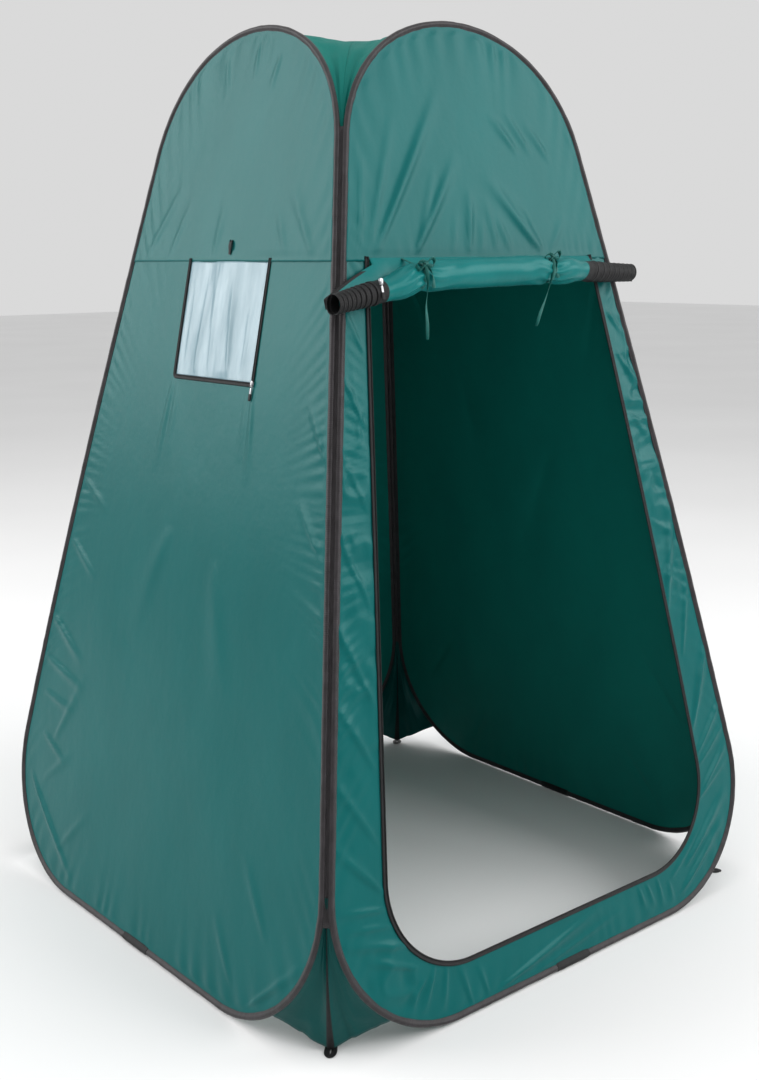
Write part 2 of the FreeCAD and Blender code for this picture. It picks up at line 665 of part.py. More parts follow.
def door_tie(name, side):
    """A tape round the rolled door, with its bow in front and one long tail."""
    frame = wall_frame(0)
    across = size("tie_place") + side * size("tie_position")
    inner = "sizes.roll_radius + sizes.tie_clearance"
    outer = f"{inner} + sizes.tie_thickness"
    rounds = []
    for part, radius in (("outer", outer), ("inner", inner)):
        disc = doc.addObject("Part::Cylinder", f"door_tie_{name}_{part}")
        disc.setExpression("Radius", radius)
        disc.setExpression("Height", "sizes.tie_width")
        disc.Placement = frame.multiply(facing((0, 1, 0), QUARTER, across - size("tie_width") / 2,
                                               size("roll_height"), size("roll_offset")))
        rounds.append(disc)
    ring = doc.addObject("Part::Cut", f"door_tie_{name}_ring")
    ring.Base, ring.Tool = rounds
    top = size("roll_height") + amount_of(outer) - size("tie_thickness")
    strap = box(f"door_tie_{name}_strap", frame.multiply(at(across, top, size("cloth_thickness"))),
                "sizes.tie_width", "sizes.strap_thickness", "sizes.roll_offset")
    front = size("roll_offset") + amount_of(outer) - size("tie_thickness") / 2
    knot = box(f"door_tie_{name}_knot",
               frame.multiply(at(across, size("roll_height") - size("knot_height") / 2, front)),
               "sizes.knot_width", "sizes.knot_height", "sizes.knot_thickness")
    tail = box(f"door_tie_{name}_tail",
               frame.multiply(at(across, size("roll_height") - size("tie_tail"), front)),
               "sizes.tie_width", "sizes.tie_tail", "sizes.tie_thickness")
    fused(f"door_tie_{name}", [ring, strap, knot, tail])


# ---------------------------------------------------------------- window and zip sliders

def window_film():
    body = new_body("window_film", wall_frame(3))
    outline = new_sketch(body, "outline")
    edge = "(sizes.window_width / 2 - sizes.window_tape_width - sizes.film_gap)"
    draw_rectangle(outline, f"sizes.window_centre - {edge}", f"sizes.window_centre + {edge}",
                   "sizes.window_foot + sizes.window_tape_width + sizes.film_gap",
                   "sizes.header_height - sizes.flap_drop")
    pad(body, outline, "sizes.film_thickness")


def window_tape():
    """The zip tape down both sides and along the foot of the window."""
    body = new_body("window_zip_tape", wall_frame(3))
    outline = new_sketch(body, "outline")
    edge = "sizes.window_width / 2 - sizes.film_gap / 2"
    draw_rectangle(outline, f"sizes.window_centre - ({edge})", f"sizes.window_centre + {edge}",
                   "sizes.window_foot + sizes.film_gap / 2", "sizes.header_height - sizes.seam_gap")
    pad(body, outline, "sizes.tape_thickness")
    doc.recompute()
    inside = new_sketch(body, "inside")
    inner_edge = "(sizes.window_width / 2 - sizes.window_tape_width)"
    draw_rectangle(inside, f"sizes.window_centre - {inner_edge}", f"sizes.window_centre + {inner_edge}",
                   "sizes.window_foot + sizes.window_tape_width",
                   "sizes.header_height + sizes.window_tape_width")
    cut_through(body, inside)


def window_tie():
    """The short tape above the window that holds it when it is rolled up."""
    out = (size("cloth_thickness") + size("seam_gap")) / 2
    place = wall_frame(3).multiply(at(size("window_centre"), size("header_height") + size("seam_gap"), out))
    tie = box("window_tie", place,
              "sizes.window_tie_width", "sizes.window_tie_length", "sizes.tie_thickness")
    tie.Label = "window_tie"
    nodes.append(tie)


def zip_slider(name, place):
    """A zip slider and the flat pull that hangs from its lower end."""
    body = box(f"{name}_slider_block", place,
               "sizes.slider_width", "sizes.slider_length", "sizes.slider_thickness")
    slider = doc.addObject("Part::Fillet", f"{name}_slider")
    slider.Base = body
    slider.Label = f"{name}_slider"
    doc.recompute()
    rounding = size("slider_rounding")
    slider.Edges = [(i + 1, rounding, rounding) for i in range(len(body.Shape.Edges))]
    nodes.append(slider)
    pull_place = place.multiply(at(0, -size("pull_length") - size("pull_gap"), size("pull_thickness")))
    pull = box(f"{name}_pull", pull_place, "sizes.pull_width", "sizes.pull_length", "sizes.pull_thickness")
    pull.Label = f"{name}_pull"
    nodes.append(pull)


def zip_sliders():
    across = size("roll_place") - size("roll_length") / 2 - size("slider_inset")
    share = size("slider_inset") / size("roll_end_length")
    radius = size("roll_end_wide") + (size("roll_end_narrow") - size("roll_end_wide")) * share
    out = size("roll_offset") + radius + size("seam_gap")
    door_place = wall_frame(0).multiply(at(across, size("roll_height") - size("slider_length") / 2, out))
    zip_slider("door", door_place)
    across = size("window_centre") + (size("window_width") - size("window_tape_width")) / 2
    window_place = wall_frame(3).multiply(
        at(across, size("window_foot"), size("tape_thickness") / 2 + size("film_gap")))
    zip_slider("window", window_place)


# ---------------------------------------------------------------- the whole tent

def build():
    fill_sheet()
    for wall, turn in WALLS:
        header(wall, turn)
        wall_cloth(wall, turn)
        hoop_pipe(f"sleeve_{wall}", turn, "sizes.sleeve_radius", "sizes.sleeve_bore")
        hoop_pipe(f"hoop_wire_{wall}", turn, "sizes.wire_radius")
        ferrule(wall, turn)
        foot_patch(wall, turn)
    for name, corner in CORNERS:
        seam_foot, seam_top = seam_cord(name, corner)
        add_feature(f"gusset_{name}", gusset_solid(seam_foot), corner)
        peg_loop(name, corner)
    for wall, turn in WALLS:
        add_feature(f"roof_{wall}", roof_solid(), turn)
    door_tape()
    door_roll()
    for name, side in (("left", -1), ("right", 1)):
        roll_end(name, side)
        door_tie(name, side)
    window_film()
    window_tape()
    window_tie()
    zip_sliders()
    doc.recompute()


def export():
    for thing in doc.Objects:
        faults = [state for state in thing.State if state in ("Invalid", "Error")]
        if faults:
            raise RuntimeError(f"{thing.Label}: {faults}")
    os.makedirs("parts", exist_ok=True)
    for node in nodes:
        if node.Shape.isNull() or not node.Shape.isValid():
            raise RuntimeError(f"{node.Label}: shape is not sound")
        node.Shape.exportStep(f"parts/{node.Label}.step")
        bounds = node.Shape.BoundBox
        print(f"{node.Label:24s} {node.Shape.Volume / 1000:9.2f} cm3"
              f"  x {bounds.XMin:7.1f} {bounds.XMax:7.1f}"
              f"  y {bounds.YMin:7.1f} {bounds.YMax:7.1f}"
              f"  z {bounds.ZMin:7.1f} {bounds.ZMax:7.1f}")


build()
export()
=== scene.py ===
"""Looks of the privacy shower tent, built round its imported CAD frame. Metres, with +Z up.

A wall's own coordinates are u across it, v up its slope and out along its outward normal.
"""
import json
import math

import bpy
import numpy as np
from mathutils import Matrix, Vector


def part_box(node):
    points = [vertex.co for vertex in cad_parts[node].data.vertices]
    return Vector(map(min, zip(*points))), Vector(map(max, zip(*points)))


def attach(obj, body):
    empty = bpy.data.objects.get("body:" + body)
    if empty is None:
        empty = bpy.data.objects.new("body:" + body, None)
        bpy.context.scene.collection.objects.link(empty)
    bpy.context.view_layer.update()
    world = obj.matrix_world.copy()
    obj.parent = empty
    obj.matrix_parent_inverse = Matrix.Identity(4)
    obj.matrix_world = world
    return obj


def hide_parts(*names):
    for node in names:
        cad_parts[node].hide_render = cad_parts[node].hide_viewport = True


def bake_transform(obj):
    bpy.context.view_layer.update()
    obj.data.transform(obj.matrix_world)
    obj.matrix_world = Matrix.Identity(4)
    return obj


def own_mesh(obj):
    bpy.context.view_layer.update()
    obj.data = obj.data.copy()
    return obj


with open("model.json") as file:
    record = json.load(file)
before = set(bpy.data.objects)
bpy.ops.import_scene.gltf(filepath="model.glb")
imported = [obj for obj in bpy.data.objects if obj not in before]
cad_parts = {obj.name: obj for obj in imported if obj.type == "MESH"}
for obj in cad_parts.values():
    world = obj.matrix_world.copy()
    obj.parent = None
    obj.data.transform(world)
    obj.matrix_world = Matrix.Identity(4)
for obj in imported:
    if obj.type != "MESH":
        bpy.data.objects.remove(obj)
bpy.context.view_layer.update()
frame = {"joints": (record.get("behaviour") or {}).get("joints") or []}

# ---------------------------------------------------------------- sizes taken from the frame

JOINTS = {joint["name"]: joint for joint in frame["joints"]}
WALLS = {"front": 0, "right": 1, "back": 2, "left": 3}
TAU = 2 * math.pi
RIGHT_ANGLE = math.pi / 2
MM = 0.001

seam_axis = JOINTS["fold_left"]["axis"]
SLOPE = seam_axis[0] / seam_axis[2]
LEAN = math.atan(SLOPE)
header_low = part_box("header_front")[0]
BASE = header_low.z * SLOPE - header_low.y
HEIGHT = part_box("sleeve_front")[1].z
HEADER = header_low.z / math.cos(LEAN)

# the hoop line's driving sizes, as the CAD part has them
SLEEVE = 7 * MM
HINGE_INSET = 7.5 * MM
SEAM_SETBACK = 7.5 * MM
CROWN_RADIUS = 368 * MM
CROWN_SWEEP = math.radians(24.2)
FOOT_RADIUS = 267 * MM
FOOT = 8 * MM / math.cos(LEAN)
APEX = (HEIGHT - SLEEVE) / math.cos(LEAN)
SIDE = math.atan(math.sin(LEAN))
HOOP_SPREAD = 4 * MM            # soft hoops lean this much nearer the corners than the CAD's
hinge_reach = (BASE - HINGE_INSET / math.cos(LEAN)) / math.hypot(1, math.sin(LEAN))
REACH = hinge_reach - SEAM_SETBACK + HOOP_SPREAD

# the doorway's outline
DOOR_FOOT = 114 * MM
DOOR_REACH = 491 * MM
DOOR_TAPER = math.radians(7.6)
DOOR_CORNER = 180 * MM
DOOR_TAPE = 11 * MM

# soft hoops and cloth stand proud of the straight frame by this much, at this height
BOW = 12 * MM
BOW_HEIGHT = 0.85
BOW_POWER = math.log(0.5) / math.log(BOW_HEIGHT / HEIGHT)

CLOTH_THICKNESS = 0.6 * MM
CLOTH_EDGE = 3.5 * MM           # edge of the cloth inside the hoop line, under the binding
HEADER_LAP = 8 * MM
GRID = 7 * MM
HEADER_COLUMNS = 104
WALL_COLUMNS = 156
WINDOW_WALL_COLUMNS = (64, 40, 60)      # beside, below and beside the window
DOOR_WALL_COUNTS = (70, 80, 190)        # along half the sill, round its corner and up the jamb
DOOR_ZIP_COUNTS = (60, 60, 150)

# depth of the cloth's broad unevenness, and its puckers' depth, pitch along the hoop and reach from it
SLACK = 3.0 * MM
PUCKERS = (2.6 * MM, 0.042, 0.038)
FRONT_SLACK = 2.0 * MM
FRONT_PUCKERS = (2.4 * MM, 0.036, 0.03)

# first seed of the unevenness of each kind of piece
SEEDS = {"header": 3, "roll": 3, "roll_line": 7, "door_top": 8, "front_wall": 10, "left_wall": 11,
         "plain_wall": 12, "film": 21, "front_puckers": 30, "binding": 60, "roof": 70, "strip": 80,
         "gusset": 90, "foot_tab": 97}


# ---------------------------------------------------------------- places

def bowed(points):
    """Points moved out from the tent's middle line, as the springy hoops bend."""
    z = np.clip(points[:, 2] / HEIGHT, 0, 1)
    out = BASE - points[:, 2] * SLOPE
    scale = 1 + BOW * np.sin(math.pi * z ** BOW_POWER) / out
    return points * np.stack([scale, scale, np.ones_like(scale)], axis=1)


def turned(points, turn):
    """Points turned about the tent's middle by a number of quarter turns."""
    x, y, z = points.T
    for _ in range(turn):
        x, y = -y, x
    return np.stack([x, y, z], axis=1)


def on_wall(wall, u, v, out=0.0):
    """Places in the tent's frame for arrays of a wall's own coordinates."""
    u, v, out = np.broadcast_arrays(*(np.asarray(value, float).ravel() for value in (u, v, out)))
    points = np.stack([u, v * math.sin(LEAN) - out * math.cos(LEAN) - BASE,
                       v * math.cos(LEAN) + out * math.sin(LEAN)], axis=1)
    return bowed(turned(points, WALLS[wall]))


def wall_vector(wall, across=0.0, up=0.0, out=0.0):
    """A direction of the wall's own coordinates, in the tent's frame."""
    step = np.array([[across, up * math.sin(LEAN) - out * math.cos(LEAN),
                      up * math.cos(LEAN) + out * math.sin(LEAN)]])
    return turned(step, WALLS[wall])[0]


def up_and_out(point):
    """Height up the slope and distance out, for a point beside the front wall."""
    behind = point[1] + BASE
    return (point[2] * math.cos(LEAN) + behind * math.sin(LEAN),
            point[2] * math.sin(LEAN) - behind * math.cos(LEAN))


def slope_heights(node):
    """Lowest and highest height of a CAD node up the slope."""
    low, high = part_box(node)
    return low.z / math.cos(LEAN), high.z / math.cos(LEAN)


# ---------------------------------------------------------------- outlines

def hoop_arcs():
    """Centres and radii of the shoulder and foot arcs, on the right-hand side of a wall."""
    square = np.array([math.cos(SIDE), math.sin(SIDE)])
    join = np.array([math.sin(CROWN_SWEEP), math.cos(CROWN_SWEEP)])
    crown = np.array([0.0, APEX - CROWN_RADIUS])
    end = crown + CROWN_RADIUS * join
    radius = (REACH - end @ square) / (1 - join @ square)
    foot_v = FOOT + FOOT_RADIUS
    foot = np.array([(REACH - FOOT_RADIUS - foot_v * square[1]) / square[0], foot_v])
    return {"crown": (crown, CROWN_RADIUS),
            "shoulder": (end - radius * join, radius),
            "foot": (foot, FOOT_RADIUS)}


ARCS = hoop_arcs()
SHOULDER_FOOT = ARCS["shoulder"][0][1] + ARCS["shoulder"][1] * math.sin(SIDE)


def steps(length, spacing):
    """How many steps of about this spacing a length takes."""
    return max(2, int(round(length / spacing)))


def arc_rows(centre, radius, angles):
    """Points of an arc, as rows of u, v and the way its outside faces."""
    u, v = centre
    return np.stack([u + radius * np.cos(angles), v + radius * np.sin(angles), angles], axis=1)


def along_arc(name, start, end, spacing):
    """Points of one of the hoop's arcs."""
    centre, radius = ARCS[name]
    return arc_rows(centre, radius, np.linspace(start, end, steps(radius * abs(end - start), spacing) + 1))


def along_line(start, end, facing, spacing):
    """Points of a straight run that faces one way."""
    count = steps(math.dist(start, end), spacing) + 1
    share = np.linspace(0, 1, count)[:, None]
    points = np.array(start) + (np.array(end) - np.array(start)) * share
    return np.hstack([points, np.full((count, 1), facing)])


def half_hoop(spacing):
    """The hoop line from the middle of its foot up to its apex, on the right-hand side."""
    foot = along_arc("foot", -RIGHT_ANGLE, SIDE, spacing)
    shoulder = along_arc("shoulder", SIDE, RIGHT_ANGLE - CROWN_SWEEP, spacing)
    crown = along_arc("crown", RIGHT_ANGLE - CROWN_SWEEP, RIGHT_ANGLE, spacing)
    floor = along_line((0.0, FOOT), foot[0, :2], -RIGHT_ANGLE, spacing)
    side = along_line(foot[-1, :2], shoulder[0, :2], SIDE, spacing)
    return np.vstack([floor[:-1], foot, side[1:-1], shoulder, crown[1:]])


def mirrored(line):
    """An outline's mirror image in the wall's middle line, in reverse order."""
    left = line[::-1] * (-1, 1, 1)
    left[:, 2] = math.pi - left[:, 2]
    return left


def whole_hoop(spacing):
    """The closed hoop line, from the middle of its foot up its right-hand side and back."""
    right = half_hoop(spacing)
    return np.vstack([right, mirrored(right[1:-1])])


def moved_in(line, inset):
    """An outline moved inwards, square to itself."""
    return line[:, :2] - inset * np.stack([np.cos(line[:, 2]), np.sin(line[:, 2])], axis=1)


FINE_HOOP = half_hoop(1.5 * MM)


def half_width(v, inset=CLOTH_EDGE):
    """Half the width of a wall's cloth at heights up the slope."""
    line = moved_in(FINE_HOOP, inset)
    rising = line[FINE_HOOP[:, 2] > -RIGHT_ANGLE]
    return np.interp(v, rising[:, 1], rising[:, 0])


def edge_distance(u, v):
    """How far a wall's points are inside its hoop line."""
    across = np.abs(u)
    near = np.minimum(REACH - across * math.cos(SIDE) - v * math.sin(SIDE), v - FOOT)
    for name, inside in (("foot", lambda du, dv: (du > 0) & (dv < 0)),
                         ("shoulder", lambda du, dv: dv > du * math.tan(SIDE)),
                         ("crown", lambda du, dv: (dv > 0) & (du < dv * math.tan(CROWN_SWEEP)))):
        (cu, cv), radius = ARCS[name]
        du, dv = across - cu, v - cv
        near = np.where(inside(du, dv), radius - np.hypot(du, dv), near)
    return near


def foot_to_header(centre, radius, facing, top_u, counts):
    """A right-hand outline up to the header seam: a level foot, a round corner and a straight side."""
    corner = arc_rows(centre, radius, np.linspace(-RIGHT_ANGLE, facing, counts[1] + 1))
    floor = np.linspace((0.0, corner[0, 1], -RIGHT_ANGLE), corner[0], counts[0] + 1)
    side = np.linspace(corner[-1], (top_u, HEADER, facing), counts[2] + 1)
    return np.vstack([floor[:-1], corner, side[1:]])


def doorway_top(widen=0.0):
    """Half the doorway's width at the header seam."""
    return (DOOR_REACH + widen - HEADER * math.sin(DOOR_TAPER)) / math.cos(DOOR_TAPER)


def half_doorway(widen, counts):
    """The right-hand half of the doorway's outline."""
    radius = DOOR_CORNER + widen
    centre_v = DOOR_FOOT - widen + radius
    centre_u = (DOOR_REACH + widen - radius - centre_v * math.sin(DOOR_TAPER)) / math.cos(DOOR_TAPER)
    return foot_to_header((centre_u, centre_v), radius, DOOR_TAPER, doorway_top(widen), counts)


def half_hoop_to_header(inset, counts):
    """The lower hoop line with the same number of points in each run as half_doorway."""
    centre, radius = ARCS["foot"]
    top_u = (REACH - HEADER * math.sin(SIDE)) / math.cos(SIDE)
    line = foot_to_header(centre, radius, SIDE, top_u, counts)
    return np.hstack([moved_in(line, inset), line[:, 2:]])


def both_sides(half):
    """A right-hand outline with its mirror image before it."""
    return np.vstack([mirrored(half[1:]), half])


# ---------------------------------------------------------------- creases

def noise(x, y, seed):
    """Smooth noise from -1 to 1 over a plane, about one bump to a unit."""
    x, y = np.broadcast_arrays(np.asarray(x, float), np.asarray(y, float))
    column, row = np.floor(x).astype(np.int64), np.floor(y).astype(np.int64)
    fx, fy = x - column, y - row

    def corner(i, j):
        mixed = (column + i) * 374761393 + (row + j) * 668265263 + seed * 144665
        mixed = ((mixed ^ (mixed >> 13)) * 1274126177) & 0x7FFFFFFF
        return ((mixed ^ (mixed >> 16)) & 0xFFFF) / 0x7FFF - 1

    sx, sy = fx * fx * (3 - 2 * fx), fy * fy * (3 - 2 * fy)
    low = corner(0, 0) * (1 - sx) + corner(1, 0) * sx
    high = corner(0, 1) * (1 - sx) + corner(1, 1) * sx
    return low * (1 - sy) + high * sy


def crease(u, v, start, end, width, height):
    """One long soft fold of the cloth, steep on one side, from start to where it fades."""
    start, end = np.array(start) * MM, np.array(end) * MM
    run = end - start
    length = math.hypot(*run)
    du, dv = u - start[0], v - start[1]
    share = (du * run[0] + dv * run[1]) / length ** 2
    side = (du * run[1] - dv * run[0]) / length
    spread = 0.62 * width * MM * (0.45 + np.clip(share, 0, 1))
    spread = np.where(side < 0, spread, spread * 1.4)
    inside = np.clip(share, 0, 1)
    lift = np.sin(math.pi * inside ** 0.7) * ((share > 0) & (share < 1))
    return 0.72 * height * MM * lift * np.exp(-(side / spread) ** 2)


def creases(u, v, table):
    """All the folds of a table, added up."""
    total = np.zeros_like(u)
    for row in table:
        total += crease(u, v, *row)
    return total


def puckers(u, v, depth, pitch, reach, seed):
    """Short folds square to the hoop, where its binding gathers the cloth."""
    edge = edge_distance(u, v)
    around = np.arctan2(v - HEIGHT / 2, u) * 0.75
    wave = np.sin(TAU * (around / pitch + 0.6 * noise(around / 0.07, edge / 0.3, seed)))
    patchy = np.clip(0.55 + 0.75 * noise(around / 0.11, 0.5, seed + 1), 0, 1)
    inside = np.maximum(edge - 10 * MM, 0)
    return depth * wave * patchy * (1 - np.exp(-inside / (8 * MM))) * np.exp(-inside / reach)


def slack(u, v, depth, seed):
    """The broad, shallow unevenness of cloth stretched in a hoop."""
    held = 1 - np.exp(-np.maximum(edge_distance(u, v), 0) / 0.08)
    broad = noise(u / 0.34, v / 0.5, seed) + 0.5 * noise(u / 0.15, v / 0.22, seed + 1)
    return depth * held * broad


def crumple(u, v, centre, size, depth, pitch, seed):
    """A patch of small sharp creases."""
    du, dv = u - centre[0] * MM, v - centre[1] * MM
    inside = np.exp(-(du / (size[0] * MM)) ** 2 - (dv / (size[1] * MM)) ** 2)
    warped_u = u + 0.4 * pitch * noise(u / pitch, v / pitch, seed + 5)
    warped_v = v + 0.4 * pitch * noise(u / pitch, v / pitch, seed + 6)
    sharp = 1 - 2 * np.abs(noise(warped_u / pitch, warped_v / pitch, seed))
    return depth * inside * sharp


# ---------------------------------------------------------------- mesh helpers

def make_piece(name, points, faces, uv, materials, face_materials=None):
    """A smooth-shaded mesh object. uv is one row per point, in metres along the piece."""
    mesh = bpy.data.meshes.new(name)
    mesh.from_pydata(points.tolist(), [], faces.tolist() if hasattr(faces, "tolist") else faces)
    layer = mesh.uv_layers.new(name="lay")
    corners = np.zeros(len(mesh.loops), np.int64)
    mesh.loops.foreach_get("vertex_index", corners)
    layer.data.foreach_set("uv", np.asarray(uv, float)[corners].ravel())
    for material in materials:
        mesh.materials.append(material)
    if face_materials is not None:
        mesh.polygons.foreach_set("material_index", np.asarray(face_materials, np.int32))
    mesh.shade_smooth()
    mesh.update()
    piece = bpy.data.objects.new(name, mesh)
    bpy.context.scene.collection.objects.link(piece)
    return piece


def grid_faces(rows, columns, wrap_rows=False, wrap_columns=False):
    """Quads over a grid of points, row after row."""
    row = np.arange(rows if wrap_rows else rows - 1)
    column = np.arange(columns if wrap_columns else columns - 1)
    i, j = (index.ravel() for index in np.meshgrid(row, column, indexing="ij"))
    next_i, next_j = (i + 1) % rows, (j + 1) % columns
    corners = (i * columns + j, i * columns + next_j, next_i * columns + next_j, next_i * columns + j)
    return np.stack(corners, axis=1)


def thicken(piece, thickness=CLOTH_THICKNESS, inner_second_material=True):
    """Give a sheet its thickness, inwards, with its second material on the inner side when asked; for the
    tent cloth that is its inside, painted lighter as painted light.
    """
    modifier = piece.modifiers.new("solidify", "SOLIDIFY")
    modifier.thickness = thickness
    modifier.offset = -1.0
    modifier.material_offset = 1 if inner_second_material else 0
    modifier.material_offset_rim = 0
    modifier.use_even_offset = False
    depsgraph = bpy.context.evaluated_depsgraph_get()
    mesh = bpy.data.meshes.new_from_object(piece.evaluated_get(depsgraph), preserve_all_data_layers=True,
                                           depsgraph=depsgraph)
    piece.modifiers.clear()
    piece.data = mesh
    mesh.name = piece.name
    return piece


def swept(name, centres, across, upward, profile, material, closed=False):
    """A solid strip: a closed profile, as rows of across and upward, carried along a line.

    A profile with one more axis has its own outline at each point of the line.
    """
    if profile.ndim == 2:
        profile = profile[None]
    points = centres[:, None] + across[:, None] * profile[..., :1] + upward[:, None] * profile[..., 1:]
    count, sides = points.shape[:2]
    faces = grid_faces(count, sides, wrap_rows=closed, wrap_columns=True).tolist()
    if not closed:
        faces.append(list(range(sides)))
        faces.append(list(range((count - 1) * sides, count * sides))[::-1])
    gaps = np.linalg.norm(np.diff(centres, axis=0), axis=1)
    along = np.concatenate([[0], np.cumsum(gaps)])
    uv = np.stack(np.broadcast_arrays(along[:, None], np.arange(sides)[None] * MM), axis=2)
    return make_piece(name, points.reshape(-1, 3), faces, uv.reshape(-1, 2), [material])


def joined(name, pieces):
    """Several meshes made into one object."""
    with bpy.context.temp_override(active_object=pieces[0], selected_editable_objects=pieces,
                                   selected_objects=pieces, object=pieces[0]):
        bpy.ops.object.join()
    pieces[0].name = name
    pieces[0].data.name = name
    return pieces[0]


def unit(vectors):
    """Vectors made one metre long."""
    return vectors / np.linalg.norm(vectors, axis=-1, keepdims=True)


def smooth_line(points, count):
    """Evenly many points on a smooth curve through given ones."""
    points = np.asarray(points, float)
    padded = np.vstack([2 * points[0] - points[1], points, 2 * points[-1] - points[-2]])
    t = np.linspace(0, len(points) - 1, count)
    index = np.minimum(t.astype(int), len(points) - 2)
    f = (t - index)[:, None]
    a, b, c, d = (padded[index + k] for k in range(4))
    square, cube = 2 * a - 5 * b + 4 * c - d, 3 * b - a - 3 * c + d
    return 0.5 * (2 * b + (c - a) * f + square * f ** 2 + cube * f ** 3)


# ---------------------------------------------------------------- materials

class Nodes:
    """A new material and short calls for wiring its nodes."""

    def __init__(self, name):
        self.material = bpy.data.materials.new(name)
        self.material.use_nodes = True
        self.tree = self.material.node_tree
        self.shader = self.tree.nodes["Principled BSDF"]
        self.lay = self.node("ShaderNodeUVMap", uv_map="lay").outputs["UV"]

    def node(self, kind, **settings):
        made = self.tree.nodes.new(kind)
        for key, value in settings.items():
            setattr(made, key, value)
        return made

    def link(self, source, target):
        self.tree.links.new(source, target)

    def set(self, **values):
        for key, value in values.items():
            self.shader.inputs[key.replace("_", " ")].default_value = value

    def noise(self, scale, detail=3.0, stretch=(1, 1, 1)):
        """Blender's noise over the piece, with this many bumps to a metre."""
        mapping = self.node("ShaderNodeMapping")
        mapping.inputs["Scale"].default_value = stretch
        self.link(self.lay, mapping.inputs["Vector"])
        texture = self.node("ShaderNodeTexNoise")
        texture.inputs["Scale"].default_value = scale
        texture.inputs["Detail"].default_value = detail
        self.link(mapping.outputs["Vector"], texture.inputs["Vector"])
        return texture.outputs["Fac"]

    def math(self, operation, first, second=None):
        made = self.node("ShaderNodeMath", operation=operation)
        for index, value in enumerate((first, second)):
            if value is None:
                continue
            if isinstance(value, (int, float)):
                made.inputs[index].default_value = value
            else:
                self.link(value, made.inputs[index])
        return made.outputs["Value"]

    def axes(self):
        split = self.node("ShaderNodeSeparateXYZ")
        self.link(self.lay, split.inputs["Vector"])
        return split.outputs["X"], split.outputs["Y"]

    def threads(self, pitch):
        """Crossed threads of a plain weave, from 0 to 1."""
        along, across = self.axes()
        waves = [self.math("SINE", self.math("MULTIPLY", axis, TAU / pitch)) for axis in (along, across)]
        return self.math("ADD", self.math("MULTIPLY", self.math("MULTIPLY", waves[0], waves[1]), 0.5), 0.5)

    def ramp(self, factor, stops):
        made = self.node("ShaderNodeValToRGB")
        elements = made.color_ramp.elements
        while len(elements) < len(stops):
            elements.new(0.5)
        for element, (place, colour) in zip(elements, stops):
            element.position = place
            element.color = (*colour, 1)
        self.link(factor, made.inputs["Fac"])
        return made.outputs["Color"]

    def paint(self, colour):
        self.link(colour, self.shader.inputs["Base Color"])

    def bump(self, heights):
        """Chain bumps from pairs of a height and the depth in metres that it stands for."""
        normal = None
        for height, depth in heights:
            made = self.node("ShaderNodeBump")
            made.inputs["Strength"].default_value = 1.0
            made.inputs["Distance"].default_value = depth
            self.link(height, made.inputs["Height"])
            if normal is not None:
                self.link(normal, made.inputs["Normal"])
            normal = made.outputs["Normal"]
        self.link(normal, self.shader.inputs["Normal"])


def taffeta(name, dark, light, roughness, sheen, fine=0.35):
    """Thin shiny tent cloth: uneven colour, small soft wrinkles and a fine weave."""
    n = Nodes(name)
    n.paint(n.ramp(n.noise(9.0, 5.0, (1, 0.5, 1)), [(0.2, dark), (0.8, light)]))
    n.set(Roughness=roughness, Sheen_Weight=sheen, Sheen_Roughness=0.35, Specular_IOR_Level=0.19)
    n.shader.inputs["Sheen Tint"].default_value = (0.75, 1.0, 0.95, 1)
    n.shader.inputs["Specular Tint"].default_value = (0.55, 1.0, 0.98, 1)
    n.bump([(n.noise(26.0, 3.0, (1, 0.6, 1)), fine * 2.2 * MM), (n.noise(95.0, 2.0), fine * 0.5 * MM),
            (n.threads(0.9 * MM), 0.03 * MM)])
    return n.material


def tape(name, dark, light, roughness, pitch):
    """Ribbed woven tape."""
    n = Nodes(name)
    n.paint(n.ramp(n.noise(60.0, 3.0), [(0.3, dark), (0.7, light)]))
    n.set(Roughness=roughness, Sheen_Weight=0.03, Sheen_Roughness=0.5, Specular_IOR_Level=0.25)
    n.bump([(n.threads(pitch), 0.25 * MM), (n.noise(120.0, 2.0), 0.5 * MM)])
    return n.material


def binding_material():
    """Dark bias tape round the hoops, slightly ribbed across."""
    n = Nodes("hoop_binding")
    along = n.axes()[0]
    patches = n.noise(40.0, 3.0, (1, 3, 1))
    n.paint(n.ramp(patches, [(0.3, (0.012, 0.010, 0.011)), (0.7, (0.026, 0.022, 0.025))]))
    n.set(Roughness=0.46, Sheen_Weight=0.12, Sheen_Roughness=0.4, Specular_IOR_Level=0.3)
    n.bump([(n.noise(70.0, 3.0, (1, 0.3, 1)), 1.4 * MM), (n.threads(1.1 * MM), 0.06 * MM),
            (n.math("SINE", n.math("MULTIPLY", along, TAU / (4 * MM))), 0.10 * MM)])
    return n.material


def film_material():
    """Milky window film with soft upright creases."""
    n = Nodes("window_film")
    clouds = n.noise(16.0, 3.0, (1.6, 0.35, 1))
    n.paint(n.ramp(clouds, [(0.3, (0.15, 0.27, 0.32)), (0.7, (0.32, 0.45, 0.51))]))
    n.set(Roughness=0.24, Transmission_Weight=0.15, IOR=1.45)
    n.bump([(n.noise(30.0, 3.0, (1.6, 0.25, 1)), 1.6 * MM)])
    return n.material


def metal_material():
    n = Nodes("zip_metal")
    n.paint(n.ramp(n.noise(400.0, 2.0), [(0.3, (0.30, 0.30, 0.31)), (0.7, (0.52, 0.52, 0.54))]))
    n.set(Metallic=1.0, Roughness=0.3)
    n.bump([(n.noise(900.0, 2.0), 0.05 * MM)])
    return n.material


def floor_material():
    n = Nodes("studio_floor")
    n.paint(n.ramp(n.noise(0.6, 2.0), [(0.3, (0.80, 0.80, 0.80)), (0.7, (0.83, 0.83, 0.83))]))
    n.set(Roughness=0.85)
    return n.material


